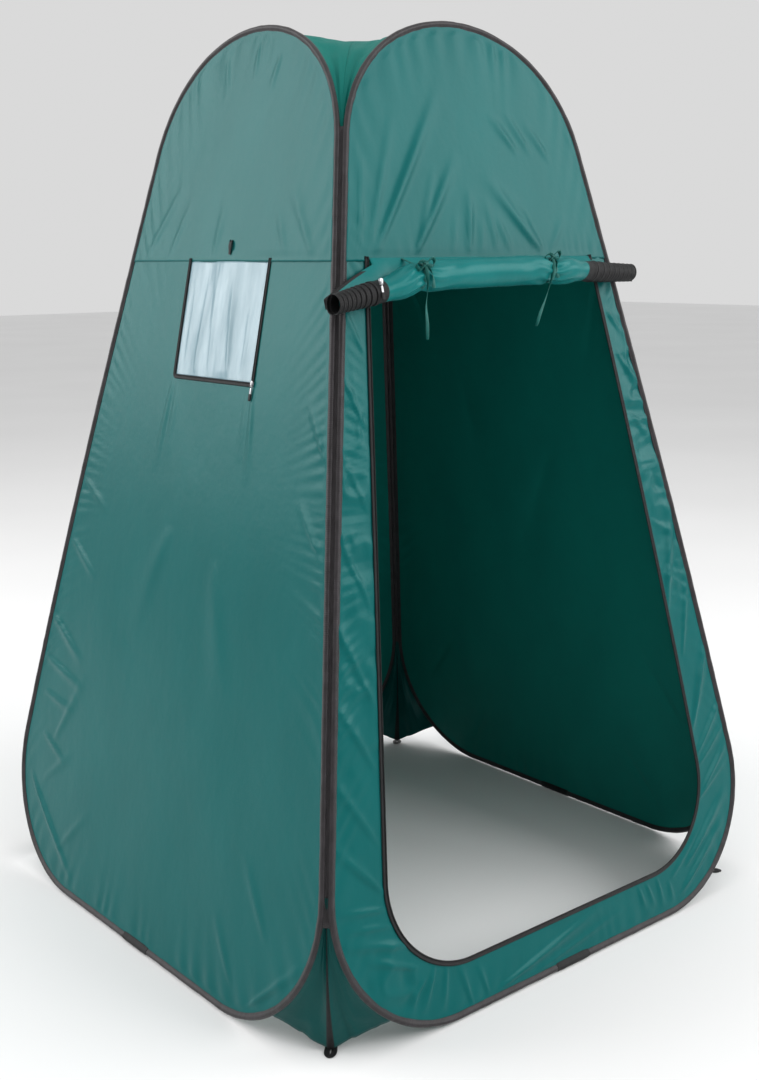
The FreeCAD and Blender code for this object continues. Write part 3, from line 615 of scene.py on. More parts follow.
CLOTH = taffeta("tent_cloth", (0.0, 0.084, 0.083), (0.001, 0.096, 0.095), 0.30, 0.02)
# painted shade: the gusset is the tent cloth painted darker, for the shade in the corner pouch
GUSSET_CLOTH_PAINTED_SHADE = taffeta("gusset_cloth_painted_shade", (0.0, 0.040, 0.038), (0.001, 0.060, 0.056), 0.34, 0.02, 0.7)
# painted light: the inside of the cloth is painted lighter than its outside, standing in for the light that
# comes into the tent
INSIDE_CLOTH_PAINTED_LIGHT = taffeta("tent_cloth_inside_painted_light", (0.001, 0.125, 0.104), (0.002, 0.150, 0.124), 0.62, 0.0)
# painted shade: the roof is the tent cloth painted darker, for the shade between the hoops
ROOF_CLOTH_PAINTED_SHADE = taffeta("roof_cloth", (0.001, 0.055, 0.055), (0.003, 0.085, 0.083), 0.36, 0.04, 0.8)
# painted light: the rolled door is the tent cloth painted lighter, for the light on the roll's top
ROLL_CLOTH_PAINTED_LIGHT = taffeta("rolled_cloth_painted_light", (0.002, 0.112, 0.110), (0.004, 0.145, 0.142), 0.30, 0.05, 0.5)
BINDING = binding_material()
ZIP = tape("zip_tape", (0.002, 0.002, 0.0025), (0.007, 0.007, 0.008), 0.5, 1.6 * MM)
WEBBING = tape("black_webbing", (0.003, 0.003, 0.0035), (0.010, 0.010, 0.011), 0.55, 2.2 * MM)
TIE_TAPE = tape("green_tie_tape", (0.004, 0.085, 0.072), (0.008, 0.125, 0.108), 0.42, 1.2 * MM)
FILM = film_material()
METAL = metal_material()


# ---------------------------------------------------------------- walls

HEADER_FOLDS = [  # start, end, width and height of each fold, in millimetres
    ((-287, 1470), (-64, 1805), 15, 9), ((-300, 1475), (-190, 1760), 12, 5),
    ((-185, 1472), (-40, 1675), 14, 9), ((-180, 1474), (-105, 1650), 8, 5),
    ((-86, 1474), (-66, 1560), 7, 4), ((-45, 1474), (-22, 1606), 12, 8),
    ((-10, 1474), (2, 1545), 8, 4), ((35, 1474), (18, 1585), 8, 5),
    ((75, 1474), (38, 1560), 9, 5), ((163, 1474), (22, 1635), 16, 9),
    ((168, 1474), (90, 1600), 9, 5), ((185, 1474), (250, 1560), 9, 4),
    ((131, 1677), (58, 1757), 10, 6), ((170, 1675), (105, 1765), 8, 5),
    ((226, 1662), (158, 1748), 9, 5), ((-318, 1490), (-285, 1665), 9, 5),
    ((320, 1662), (280, 1742), 8, 4),
]
FRONT_FOLDS = [
    # right jamb
    ((406, 645), (470, 960), 15, 8), ((449, 561), (500, 800), 9, 5),
    ((452, 384), (545, 620), 13, 9), ((452, 322), (590, 470), 9, 7),
    ((455, 300), (585, 400), 7, 6), ((447, 231), (585, 353), 10, 8),
    ((425, 215), (574, 308), 7, 6), ((384, 94), (560, 240), 14, 9),
    ((330, 80), (470, 190), 9, 5), ((374, 994), (455, 1010), 10, 5),
    ((370, 1120), (430, 1060), 9, 5), ((350, 1260), (405, 1180), 9, 5),
    ((335, 1350), (385, 1290), 8, 5), ((395, 880), (470, 840), 9, 5),
    ((410, 760), (480, 720), 8, 4),
    # sill
    ((-219, 23), (113, 96), 11, 8), ((-120, 20), (180, 70), 8, 4),
    ((222, 98), (240, 40), 7, 5), ((248, 100), (272, 35), 7, 5),
    ((285, 100), (300, 25), 7, 5), ((323, 82), (335, 21), 8, 5),
    ((362, 39), (545, 180), 12, 8), ((-284, 13), (-310, 120), 8, 6),
    ((-240, 20), (-262, 100), 7, 5),
    # left jamb and corner
    ((-450, 284), (-575, 425), 10, 8), ((-453, 266), (-585, 292), 9, 6),
    ((-386, 174), (-585, 234), 12, 8), ((-440, 230), (-584, 260), 8, 5),
    ((-410, 136), (-531, 190), 10, 8), ((-395, 110), (-437, 70), 8, 7),
    ((-365, 130), (-407, 45), 8, 7), ((-335, 124), (-360, 25), 8, 6),
    ((-455, 380), (-560, 560), 10, 6), ((-440, 520), (-540, 720), 11, 6),
    ((-425, 640), (-510, 860), 10, 6), ((-405, 820), (-470, 1010), 9, 5),
    ((-380, 1000), (-440, 1150), 9, 5), ((-360, 1150), (-410, 1290), 8, 5),
    ((-340, 1290), (-385, 1400), 8, 4),
]
LEFT_FOLDS = [
    ((-125, 1214), (-150, 1010), 11, 4), ((-105, 1214), (-110, 1040), 9, 3),
    ((165, 1214), (185, 1020), 11, 4), ((150, 1210), (150, 1060), 9, 3),
    ((-450, 330), (-330, 520), 16, 4), ((-480, 230), (-350, 330), 12, 4),
    ((440, 180), (330, 330), 14, 4), ((-380, 90), (-250, 220), 12, 4),
    ((350, 60), (260, 190), 12, 4), ((-60, 900), (-180, 640), 40, 4),
    ((110, 860), (200, 560), 40, 4), ((-545, 235), (-293, 36), 11, 8),
    ((-533, 637), (-352, 536), 11, 6), ((-528, 521), (-338, 481), 10, 6),
    ((-516, 438), (-370, 421), 9, 5), ((-501, 343), (-376, 293), 9, 5),
    ((405, 42), (572, 200), 10, 7), ((430, 1080), (341, 1202), 10, 5),
    ((444, 915), (353, 1014), 10, 5), ((-470, 820), (-340, 740), 10, 5),
    ((-440, 960), (-330, 900), 9, 4),
]
SIDE_FOLDS = [
    ((-470, 300), (-330, 520), 15, 5), ((-360, 80), (-240, 240), 12, 4),
    ((460, 240), (330, 400), 14, 5), ((320, 60), (210, 220), 12, 4),
    ((-330, 1440), (-250, 1180), 15, 4), ((300, 1430), (240, 1230), 14, 4),
    ((-120, 1000), (60, 620), 45, 4), ((160, 1200), (120, 820), 40, 3),
]
PLAIN_HEADER_FOLDS = [
    ((-300, 1475), (-180, 1640), 14, 4), ((-210, 1475), (-150, 1590), 10, 3),
    ((290, 1475), (190, 1620), 14, 4), ((210, 1475), (160, 1570), 10, 3),
    ((-40, 1475), (-20, 1600), 16, 3), ((-90, 1880), (-70, 1790), 9, 3),
    ((100, 1870), (75, 1790), 9, 3), ((20, 1900), (18, 1820), 8, 3),
]


FRONT_CRUMPLES = [  # centre and size in millimetres, depth, pitch and seed
    ((-480, 130), (90, 80), 5 * MM, 0.045, 50),
    ((400, 1050), (90, 330), 4 * MM, 0.04, 51),
    ((-430, 900), (120, 420), 3 * MM, 0.05, 52),
]


def wall_rows(low, high):
    """Heights up the slope between low and high, closer where the hoop's arcs turn in."""
    line = half_hoop(GRID)
    arcs = np.unique(np.round(line[line[:, 2] > -RIGHT_ANGLE + 0.01, 1], 5))
    inside = arcs[(arcs > low + GRID / 4) & (arcs < high - GRID / 4)]
    return np.concatenate([[low], inside, [high]])


def wall_shape(wall, u, v, folds, seed, out=0.0, top_gather=0.0):
    """Places of a wall's cloth, creased and puckered."""
    shape = slack(u, v, SLACK, seed) + puckers(u, v, *PUCKERS, seed + 20)
    shape += creases(u, v, folds)
    if top_gather:
        above = np.maximum(v - HEADER, 0)
        wave = np.sin(TAU * (u / 0.019 + noise(u / 0.06, 0.5, seed + 40)))
        patchy = np.clip(0.5 + noise(u / 0.09, 0.2, seed + 41), 0, 1)
        shape += top_gather * wave * patchy * np.exp(-above / 0.022) * (1 - np.exp(-above / 0.004))
    hem = np.clip(np.abs(v - HEADER) / (10 * MM), 0, 1)
    edge = np.clip((edge_distance(u, v) - 8 * MM) / (14 * MM), 0, 1)
    return on_wall(wall, u, v, out + shape * hem * edge)


def cloth_sheet(name, wall, u, v, folds, seed, out=0.0, gather=0.0, keep=None):
    """A sheet of a wall over a grid of its own coordinates, less the faces not to keep, with its inside
    painted lighter as painted light.
    """
    flat_u, flat_v = u.ravel(), v.ravel()
    points = wall_shape(wall, flat_u, flat_v, folds, seed, out, gather)
    faces = grid_faces(*u.shape)
    if keep is not None:
        faces = faces[keep(flat_u[faces].mean(1), flat_v[faces].mean(1))]
    return thicken(make_piece(name, points, faces, np.stack([flat_u, flat_v], axis=1), [CLOTH, INSIDE_CLOTH_PAINTED_LIGHT]))


def header_piece(wall):
    """The cloth above a wall's header seam, with its hem lapped over the wall below."""
    rows = wall_rows(HEADER - HEADER_LAP, APEX - CLOTH_EDGE - 0.4 * MM)
    u = half_width(rows)[:, None] * np.linspace(-1, 1, HEADER_COLUMNS)[None, :]
    v = np.repeat(rows[:, None], HEADER_COLUMNS, axis=1)
    folds, gather = (HEADER_FOLDS, 2.2 * MM) if wall == "front" else (PLAIN_HEADER_FOLDS, 0.8 * MM)
    piece = cloth_sheet(f"header_cloth_{wall}", wall, u, v, folds, SEEDS["header"] + WALLS[wall],
                        out=1.2 * MM, gather=gather)
    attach(piece, wall)
    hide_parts(f"header_{wall}")


def window_box():
    """The window's opening on the left wall: its sides across and its foot up the slope."""
    low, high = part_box("window_zip_tape")
    return -high.y, -low.y, slope_heights("window_zip_tape")[0]


def wall_piece(wall):
    """A wall's cloth below the header, with the window left open in the left one."""
    rows = wall_rows(FOOT + CLOTH_EDGE, HEADER)
    half = half_width(rows)
    keep = None
    if wall == "left":
        left, right, foot = window_box()
        inset = 5 * MM
        rows[np.argmin(np.abs(rows - foot - inset))] = foot + inset
        marks = np.stack([-half, np.full_like(half, left + inset), np.full_like(half, right - inset), half])
        runs = [np.linspace(marks[k], marks[k + 1], count + 1)[(1 if k else 0):]
                for k, count in enumerate(WINDOW_WALL_COLUMNS)]
        u = np.vstack(runs).T
        folds, seed = LEFT_FOLDS, SEEDS["left_wall"]

        def keep(cu, cv):
            return ~((cu > left + inset) & (cu < right - inset) & (cv > foot + inset))
    else:
        u = half[:, None] * np.linspace(-1, 1, WALL_COLUMNS)[None, :]
        folds, seed = SIDE_FOLDS, SEEDS["plain_wall"] + WALLS[wall]
    v = np.repeat(rows[:, None], u.shape[1], axis=1)
    piece = cloth_sheet(f"wall_cloth_{wall}", wall, u, v, folds, seed, keep=keep)
    finish_wall(piece, wall)


def front_wall_piece():
    """The wall round the doorway: jambs and sill between the hoop and the zip, flat as one long strip."""
    hoop = both_sides(half_hoop_to_header(CLOTH_EDGE, DOOR_WALL_COUNTS))
    door = both_sides(half_doorway(DOOR_TAPE - 4 * MM, DOOR_WALL_COUNTS))
    share = np.linspace(0, 1, 27)[None, :, None]
    grid = hoop[:, None, :2] * (1 - share) + door[:, None, :2] * share
    u, v = grid[..., 0], grid[..., 1]
    flat_u, flat_v = u.ravel(), v.ravel()
    shape = slack(flat_u, flat_v, FRONT_SLACK, SEEDS["front_wall"])
    shape = shape + puckers(flat_u, flat_v, *FRONT_PUCKERS, SEEDS["front_puckers"])
    shape += creases(flat_u, flat_v, FRONT_FOLDS)
    for patch in FRONT_CRUMPLES:
        shape += crumple(flat_u, flat_v, *patch)
    across = np.broadcast_to(share[..., 0], u.shape).ravel()
    held = np.clip(across / 0.12, 0, 1) * (0.35 + 0.65 * np.clip((1 - across) / 0.2, 0, 1))
    points = on_wall("front", flat_u, flat_v, shape * held)
    faces = grid_faces(u.shape[0], u.shape[1])[:, ::-1]
    piece = make_piece("wall_cloth_front", points, faces, np.stack([flat_u, flat_v], axis=1), [CLOTH, INSIDE_CLOTH_PAINTED_LIGHT])
    thicken(piece)
    finish_wall(piece, "front")


def finish_wall(piece, wall):
    """Fasten a wall's cloth to its body."""
    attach(piece, wall)
    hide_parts(f"wall_{wall}")


# ---------------------------------------------------------------- hoops, seams and feet

BINDING_PROFILE = np.array([  # in the wall's plane towards the hoop's outside, and out of the wall
    (-8.5, 0.9), (-6.6, 1.3), (-4.8, 2.5), (-2.7, 4.3), (0.0, 5.2), (3.0, 4.3), (4.9, 2.3), (5.4, 0.0),
    (4.9, -2.3), (3.0, -4.3), (0.0, -5.2), (-2.7, -4.3), (-4.8, -2.5), (-6.6, -1.5), (-8.5, -1.3)]) * MM


def hoop_binding(wall):
    """Bias tape folded round the spring wire and sewn down on the cloth."""
    line = whole_hoop(8 * MM)
    centres = on_wall(wall, line[:, 0], line[:, 1])
    normal = np.broadcast_to(wall_vector(wall, out=1.0), centres.shape)
    tangent = unit(np.roll(centres, -1, axis=0) - np.roll(centres, 1, axis=0))
    outward = unit(np.cross(tangent, normal))
    around = np.arange(len(line))
    seed = SEEDS["binding"] + WALLS[wall]
    swell = 1 + 0.06 * noise(around / 2.3, 0.3, seed)[:, None, None]
    profile = BINDING_PROFILE[None] * swell
    spot = np.arange(len(BINDING_PROFILE))[None] / 2
    uneven = [noise(around[:, None] / run, spot, seed + more) for run, more in ((1.7, 9), (1.9, 5))]
    profile = profile + (0.25 * MM) * np.stack(uneven, 2)
    piece = swept(f"hoop_binding_{wall}", centres, outward, normal, profile, BINDING, closed=True)
    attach(piece, wall)
    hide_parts(f"sleeve_{wall}", f"hoop_wire_{wall}", f"wire_ferrule_{wall}")


CORNERS = {  # the two walls that meet, and the joint between them
    "front_left": ("front", "left", "fold_left"), "front_right": ("right", "front", "fold_right"),
    "back_left": ("left", "back", "fold_back"), "back_right": ("back", "right", None)}
CORNER_TURN = {"front_left": 0, "front_right": 1, "back_right": 2, "back_left": 3}
GUSSET_HEM = 62 * MM            # height at which the gusset's lower hem leaves the hoops
GUSSET_REACH = 0.578            # the gusset's tip, in x and in y
PEG_LOOP_PATH = [  # out of the corner, sideways and up, in millimetres
    (-6, 0, 9), (8, -4, 5), (24, -6.5, 2.2), (38, -6, 1.4), (46, 0, 1.4), (38, 6, 1.4), (24, 6.5, 2.4),
    (8, 4, 6), (-6, 0, 11)]
PEG_LOOP_PROFILE = np.array([
    (-5.5, 0.1), (-5.0, 0.8), (5.0, 0.8), (5.5, 0.1), (5.0, -0.7), (-5.0, -0.7)]) * MM
PEG_LOOP_BODY = {"front_left": "front", "front_right": "front", "back_left": "left", "back_right": "right"}


def corner_way(corner, reach):
    """A level step out of a corner, as far in x and in y."""
    return turned(np.array([[-reach, -reach, 0.0]]), CORNER_TURN[corner])[0]


def corner_edges(corner, v):
    """Points on the two hoops' side lines at a corner, for heights up the slope."""
    near, far, _ = CORNERS[corner]
    half = half_width(v, 0.0)
    return on_wall(near, -half, v), on_wall(far, half, v)


def tie_to_bodies(piece, corner):
    """Bake a corner's cloth into place where two walls meet at a joint, or fasten it to the right wall at the
    open corner.
    """
    near, far, joint = CORNERS[corner]
    if joint:
        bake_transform(piece)
    else:
        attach(piece, "right")


def corner_strip(corner):
    """The narrow strip that joins two hoops' bindings up a corner."""
    low = ARCS["foot"][0][1] - 4 * MM
    high = SHOULDER_FOOT + 0.02
    v = np.linspace(low, high, 170)
    near, far = corner_edges(corner, v)
    share = np.linspace(0.12, 0.88, 7)
    grid = near[:, None] * (1 - share[None, :, None]) + far[:, None] * share[None, :, None]
    ripple = noise(v[:, None] / 0.03, share[None] * 2, SEEDS["strip"] + CORNER_TURN[corner])
    depth = (ripple * 1.2 - 2.5) * MM * np.sin(math.pi * share)[None]
    grid = grid + unit(corner_way(corner, 1.0)) * depth[..., None]
    uv = np.stack(np.broadcast_arrays(v[:, None], share[None] * 0.02), axis=2)
    piece = make_piece(f"corner_strip_{corner}", grid.reshape(-1, 3), grid_faces(len(v), len(share)),
                       uv.reshape(-1, 2), [BINDING])
    thicken(piece, 1.0 * MM, inner_second_material=False)
    tie_to_bodies(piece, corner)
    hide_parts(f"seam_cord_{corner}")


def gusset(corner):
    """The pouch of cloth between two hoops' round feet, drawn down to its peg loop."""
    (foot_u, foot_v), radius = ARCS["foot"]
    near_wall, far_wall, joint = CORNERS[corner]
    hem_angle = math.asin((GUSSET_HEM / math.cos(LEAN) - foot_v) / radius)
    rows, half_columns = 44, 15
    share = np.linspace(0, 1, rows)
    down = share[:, None]
    angle = SIDE + (hem_angle - SIDE) * share
    u = foot_u + (radius + 2 * MM) * np.cos(angle)
    v = foot_v + (radius + 2 * MM) * np.sin(angle)
    near, far = on_wall(near_wall, -u, v), on_wall(far_wall, u, v)
    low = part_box(f"gusset_{corner}")[0]
    tip = corner_way(corner, GUSSET_REACH) + (0, 0, low.z + 3 * MM)
    top = (near[0] + far[0]) / 2
    fall = down ** 0.85
    outward = unit(corner_way(corner, 1.0))
    fold = top * (1 - fall) + tip * fall + outward * (20 * MM * np.sin(math.pi * down))
    c = np.linspace(0, 1, half_columns + 1)[None, :, None]
    left, right = (edge[:, None] * (1 - c) + fold[:, None] * c for edge in (near, far))
    grid = np.concatenate([left, right[:, ::-1][:, 1:]], axis=1)
    columns = grid.shape[1]
    across = np.linspace(-1, 1, columns)[None]
    slope = np.sin(math.pi * np.abs(across))
    seed = SEEDS["gusset"] + CORNER_TURN[corner]
    wrinkle = noise(across * 5 + 0.8 * down, down * 3.0, seed)
    wrinkle = wrinkle + 0.6 * (1 - 2 * np.abs(noise(across * 9, down * 4, seed + 1)))
    depth = -12 * MM * (slope * np.sin(math.pi * down)) + 5 * MM * wrinkle * slope * (down ** 0.5)
    grid = grid + outward * depth[..., None]
    grid[..., 2] = np.maximum(grid[..., 2], low.z)
    uv = np.stack(np.broadcast_arrays(across * 0.15, down * 0.3), axis=2)
    faces = grid_faces(rows, columns)
    seam = np.abs(faces[:, 0] % columns - half_columns + 0.5) < 1
    piece = make_piece(f"corner_gusset_{corner}", grid.reshape(-1, 3), faces, uv.reshape(-1, 2),
                       [GUSSET_CLOTH_PAINTED_SHADE, ZIP], seam)
    thicken(piece, inner_second_material=False)
    tie_to_bodies(piece, corner)
    if joint is None:
        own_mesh(piece)
    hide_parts(f"gusset_{corner}")


def peg_loop(corner):
    """A doubled loop of black webbing sewn to the gusset's tip."""
    low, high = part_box(f"peg_loop_{corner}")
    outward = unit(corner_way(corner, 1.0))
    upright = np.array([0, 0, 1.0])
    sideways = np.cross(outward, upright)
    start = (np.array(low) + np.array(high)) / 2 * (1, 1, 0) - outward * 26 * MM
    line = smooth_line(PEG_LOOP_PATH, 64) * MM
    centres = start + outward * line[:, :1] + sideways * line[:, 1:2] + upright * line[:, 2:]
    tangent = unit(np.gradient(centres, axis=0))
    flat = unit(np.cross(tangent, upright))
    upward = unit(np.cross(flat, tangent))
    piece = swept(f"peg_webbing_{corner}", centres, flat, upward, PEG_LOOP_PROFILE, WEBBING)
    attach(piece, PEG_LOOP_BODY[corner])
    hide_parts(f"peg_loop_{corner}")


def foot_tab(wall):
    """The webbing patch that wraps the hoop in the middle of a wall's foot."""
    low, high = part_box(f"foot_patch_{wall}")
    half = max(high.x - low.x, high.y - low.y) / 2
    u = np.linspace(-half, half, 30)
    centres = on_wall(wall, u, np.full_like(u, FOOT))
    across = np.broadcast_to(wall_vector(wall, up=-1.0), centres.shape)
    normal = np.broadcast_to(wall_vector(wall, out=1.0), centres.shape)
    spot = np.arange(len(BINDING_PROFILE))[None, :, None] / 2
    wobble = 1 + 0.04 * noise(u[:, None, None] / 0.008, spot, SEEDS["foot_tab"])
    taper = 1 - 0.10 * np.abs(u / half)[:, None, None] ** 6
    profile = np.clip(BINDING_PROFILE[None] * 1.3 * wobble * taper, -20 * MM, 7.7 * MM)
    piece = swept(f"foot_tab_{wall}", centres, across, normal, profile, WEBBING)
    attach(piece, wall)
    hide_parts(f"foot_patch_{wall}")


def roof_piece(wall):
    """A quarter of the roof, from its hoop's arch in to the diagonals and the tent's middle."""
    line = half_hoop(9 * MM)
    right = line[line[:, 1] >= SHOULDER_FOOT - 0.01]
    u, v = np.vstack([right * (-1, 1, 1), right[::-1][1:]])[:, :2].T
    edge = turned(on_wall(wall, u, v, -(SLEEVE - 3 * MM)), (4 - WALLS[wall]) % 4)
    widest = np.abs(u).max()
    share = (1 - np.abs(u) / widest) ** 2
    crown_y = edge[np.argmin(np.abs(u)), 1]
    diagonal = np.maximum((np.abs(u) - edge[:, 1]) / 2 + crown_y / 2 * share, 0)
    inner = np.stack([np.sign(u) * diagonal, -diagonal, edge[:, 2] - 15 * MM * np.sqrt(share)], axis=1)
    columns = 22
    t = np.linspace(0, 1, columns)
    grid = edge[:, None] * (1 - t[None, :, None]) + inner[:, None] * t[None, :, None]
    seed = SEEDS["roof"] + WALLS[wall]
    along = u[:, None] / 0.055
    ripple = noise(along + 0.8 * t[None], t[None] * 2.2, seed)
    ripple = ripple + 0.5 * (1 - 2 * np.abs(noise(along * 2, t[None] * 3, seed)))
    drop = (10 * MM * np.sin(math.pi * t)[None] * (0.3 + share[:, None])
            + 6 * MM * ripple * np.sin(math.pi * t ** 0.8)[None])
    grid[..., 2] -= drop
    uv = np.stack(np.broadcast_arrays(u[:, None], t[None] * 0.3), axis=2)
    points = turned(grid.reshape(-1, 3), WALLS[wall])
    piece = make_piece(f"roof_cloth_{wall}", points, grid_faces(len(u), columns), uv.reshape(-1, 2),
                       [ROOF_CLOTH_PAINTED_SHADE, INSIDE_CLOTH_PAINTED_LIGHT])
    thicken(piece)
    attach(piece, wall)
    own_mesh(piece)
    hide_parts(f"roof_{wall}")


# ---------------------------------------------------------------- doorway and rolled door

def zip_strip(name, wall, line, width, coil_side):
    """Zip tape along an outline with its coil of teeth standing on one edge."""
    centres = on_wall(wall, line[:, 0], line[:, 1], 1.6 * MM)
    normal = np.broadcast_to(wall_vector(wall, out=1.0), centres.shape)
    tangent = unit(np.gradient(centres, axis=0))
    outward = unit(np.cross(tangent, normal))
    half = width / 2
    profile = np.array([(-half, 0.5), (-half + 1.2, 1.7), (-half + 2.6, 1.9), (-half + 3.8, 1.0), (0, 0.7),
                        (half, 0.4), (half, -0.6), (0, -0.7), (-half + 3.6, -1.2), (-half + 1.4, -1.4)]) * MM
    profile = profile * (coil_side, 1)
    if coil_side < 0:
        profile = profile[::-1]
    return swept(name, centres, outward, normal, profile, ZIP)


def coil_teeth(name, wall, line, out, radius, pitch):
    """The moulded coil of a zip, as a row of rounded teeth."""
    gaps = np.linalg.norm(np.diff(line[:, :2], axis=0), axis=1)
    along = np.concatenate([[0], np.cumsum(gaps)])
    count = int(along[-1] / pitch)
    stations = np.linspace(0, along[-1], count * 4 + 1)
    u, v = (np.interp(stations, along, line[:, k]) for k in (0, 1))
    facing = np.interp(stations, along, line[:, 2])
    swing = 0.55 * radius * np.sin(TAU * stations / pitch)
    centres = on_wall(wall, u + swing * np.cos(facing), v + swing * np.sin(facing), out)
    tangent = unit(np.gradient(centres, axis=0))
    normal = np.broadcast_to(wall_vector(wall, out=1.0), centres.shape)
    side = unit(np.cross(tangent, normal))
    size = radius * (1 + 0.3 * np.sin(2 * TAU * stations / pitch))
    angles = np.linspace(0, TAU, 6, endpoint=False)
    ring = np.stack([np.cos(angles), np.sin(angles)], axis=1)
    profile = size[:, None, None] * ring[None]
    return swept(name, centres, side, normal, profile, ZIP)


def doorway_zip():
    """The half of the door's zip that is sewn round the doorway."""
    line = both_sides(half_doorway(0.0, DOOR_ZIP_COUNTS))
    middle = np.hstack([moved_in(line, -5 * MM), line[:, 2:]])
    strip = zip_strip("doorway_strip", "front", middle, 10.0, -1)
    edge = np.hstack([moved_in(line, -1 * MM), line[:, 2:]])
    teeth = coil_teeth("doorway_teeth", "front", edge, 2.2 * MM, 1.3 * MM, 3.6 * MM)
    piece = joined("doorway_zip", [strip, teeth])
    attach(piece, "front")
    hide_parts("door_zip_tape")


roll_end_low, roll_end_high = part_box("roll_zip_left")
ROLL_V, ROLL_OUT = up_and_out((roll_end_low + roll_end_high) / 2)
ROLL_MIDDLE = (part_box("door_roll")[1].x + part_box("door_roll")[0].x) / 2
ROLL_HALF = (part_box("door_roll")[1].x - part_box("door_roll")[0].x) / 2
ROLL_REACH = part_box("roll_zip_right")[1].x - ROLL_MIDDLE
DOOR_LENGTH = 1.28
ROLL_TAPE = 27 * MM
LOOSE_ROLL = 30 * MM            # the roll's radius between its ties
TIGHT_ROLL = 21.5 * MM          # radius of the outer turns at the zip ends
CORE_ROLL = 17 * MM
TIE_PINCH = 0.18
TIE_AT = {side: (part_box(f"door_tie_{side}")[0].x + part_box(f"door_tie_{side}")[1].x) / 2
          for side in ("left", "right")}
ROLL_RISE = np.array([  # how the roll hangs: across the wall, and up from its CAD axis
    (-430, -49), (-380, -38), (-330, -29), (-290, -21), (-250, -7), (-216, 0), (-100, 5), (0, 7), (125, 7),
    (217, 5), (300, 0), (386, -3)]) * MM


def smooth_step(x):
    """A soft step from 0 to 1."""
    x = np.clip(x, 0, 1)
    return x * x * (3 - 2 * x)


def roll_line(x):
    """The rolled door's own middle line: height up the slope and distance out."""
    rise = sum(np.interp(x + shift * MM, *ROLL_RISE.T) for shift in (-24, -12, 0, 12, 24)) / 5
    return ROLL_V + rise, ROLL_OUT + 2 * MM * noise(x / 0.2, 0.5, SEEDS["roll_line"])


def roll_radius(x, share):
    """Radius of the turn that lies at a share of the door's length, loose between the zip ends."""
    from_left = x - (ROLL_MIDDLE - ROLL_HALF - 22 * MM)
    from_right = ROLL_MIDDLE + ROLL_HALF - 22 * MM - x
    loose = smooth_step(from_left / 0.055) * smooth_step(from_right / 0.045)
    tight = TIGHT_ROLL + (CORE_ROLL - TIGHT_ROLL) * share
    return tight + (LOOSE_ROLL - TIGHT_ROLL) * (1 - share) ** 1.6 * loose


def roll_unevenness(x, angle):
    """A factor on the roll's radius for its ties' pinch and pleats and its soft, uneven winding."""
    factor = 1 + 0.035 * np.sin(2 * angle + 3 * noise(x / 0.16, 0.2, SEEDS["roll"]))
    factor = factor + 0.02 * np.sin(3 * angle + 5 * noise(x / 0.09, 0.7, SEEDS["roll"] + 1))
    for place in TIE_AT.values():
        pleat = np.exp(-((x - place) / 0.045) ** 2) * np.sin(9 * angle + 2 * np.sin(x * 60))
        factor = factor - TIE_PINCH * np.exp(-((x - place) / 0.016) ** 2) + 0.07 * pleat
    return factor


def rolled_point(x, angle, radius):
    """A point of the rolled door: angle 0 faces the wall, then it goes down and to the front."""
    v, out = roll_line(x)
    reach = radius * roll_unevenness(x, angle)
    return on_wall("front", x, v - reach * np.sin(angle), out - reach * np.cos(angle))


def rolled_turns(count):
    """Shares of the door's length from its top seam, and the angle wound up to each."""
    share = np.linspace(0, 1, count)
    wound = DOOR_LENGTH / count / roll_radius(ROLL_MIDDLE, share)
    return share, np.cumsum(wound) - 0.6


def roll_edges(share):
    """The rolled door's two edges across the wall, from its top seam to its foot."""
    left = ROLL_HALF + 43 * MM
    return (ROLL_MIDDLE - left - (ROLL_REACH - left) * share,
            ROLL_MIDDLE + ROLL_HALF + (ROLL_REACH - ROLL_HALF) * share)


def rolled_door():
    """The door panel wound into a spiral, its black zip showing as the ribbed ends."""
    rows, edge_columns, columns = 560, 10, 86
    share, angle = rolled_turns(rows)
    left, right = (edge[:, None] for edge in roll_edges(share))
    tape_run = np.linspace(0, ROLL_TAPE, edge_columns + 1)[None, :-1]
    middle = np.linspace(0, 1, columns - 2 * edge_columns)[None]
    cloth = (left + ROLL_TAPE) * (1 - middle) + (right - ROLL_TAPE) * middle
    u = np.concatenate([left + tape_run, cloth, right - tape_run[:, ::-1]], axis=1)
    from_edge = np.minimum(u - left, right - u)
    rib = 1.5 * MM * np.exp(-((from_edge - 4.5 * MM) / (3.2 * MM)) ** 2)
    radius = roll_radius(u, share[:, None]) + rib
    angles = np.broadcast_to(angle[:, None], u.shape)
    points = rolled_point(u.ravel(), angles.ravel(), radius.ravel())
    faces = grid_faces(rows, columns)
    column = faces[:, 0] % columns
    black = (column < edge_columns) | (column >= columns - edge_columns - 1)
    uv = np.stack([u, np.broadcast_to(share[:, None] * DOOR_LENGTH, u.shape)], axis=2)
    piece = make_piece("rolled_door", points, faces, uv.reshape(-1, 2), [ROLL_CLOTH_PAINTED_LIGHT, ZIP], black)
    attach(piece, "door")
    coils = [roll_coil(name, edge[:, 0], share, angle) for name, edge in (("left", left), ("right", right))]
    for shown in [piece] + coils:
        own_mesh(shown)
    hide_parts("door_roll", "roll_zip_left", "roll_zip_right")


def roll_coil(name, edge, share, angle):
    """The zip's coil round one spiral end of the rolled door."""
    centres = rolled_point(edge, angle, roll_radius(edge, share) + 0.6 * MM)
    across = np.broadcast_to(wall_vector("front", across=1.0), centres.shape)
    outward = unit(np.cross(unit(np.gradient(centres, axis=0)), across))
    angles = np.linspace(0, TAU, 8, endpoint=False)
    ring = np.stack([2.0 * MM * np.cos(angles), 1.2 * MM * np.sin(angles)], axis=1)
    piece = swept(f"rolled_zip_coil_{name}", centres, across, outward, ring, ZIP)
    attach(piece, "door")
    return piece


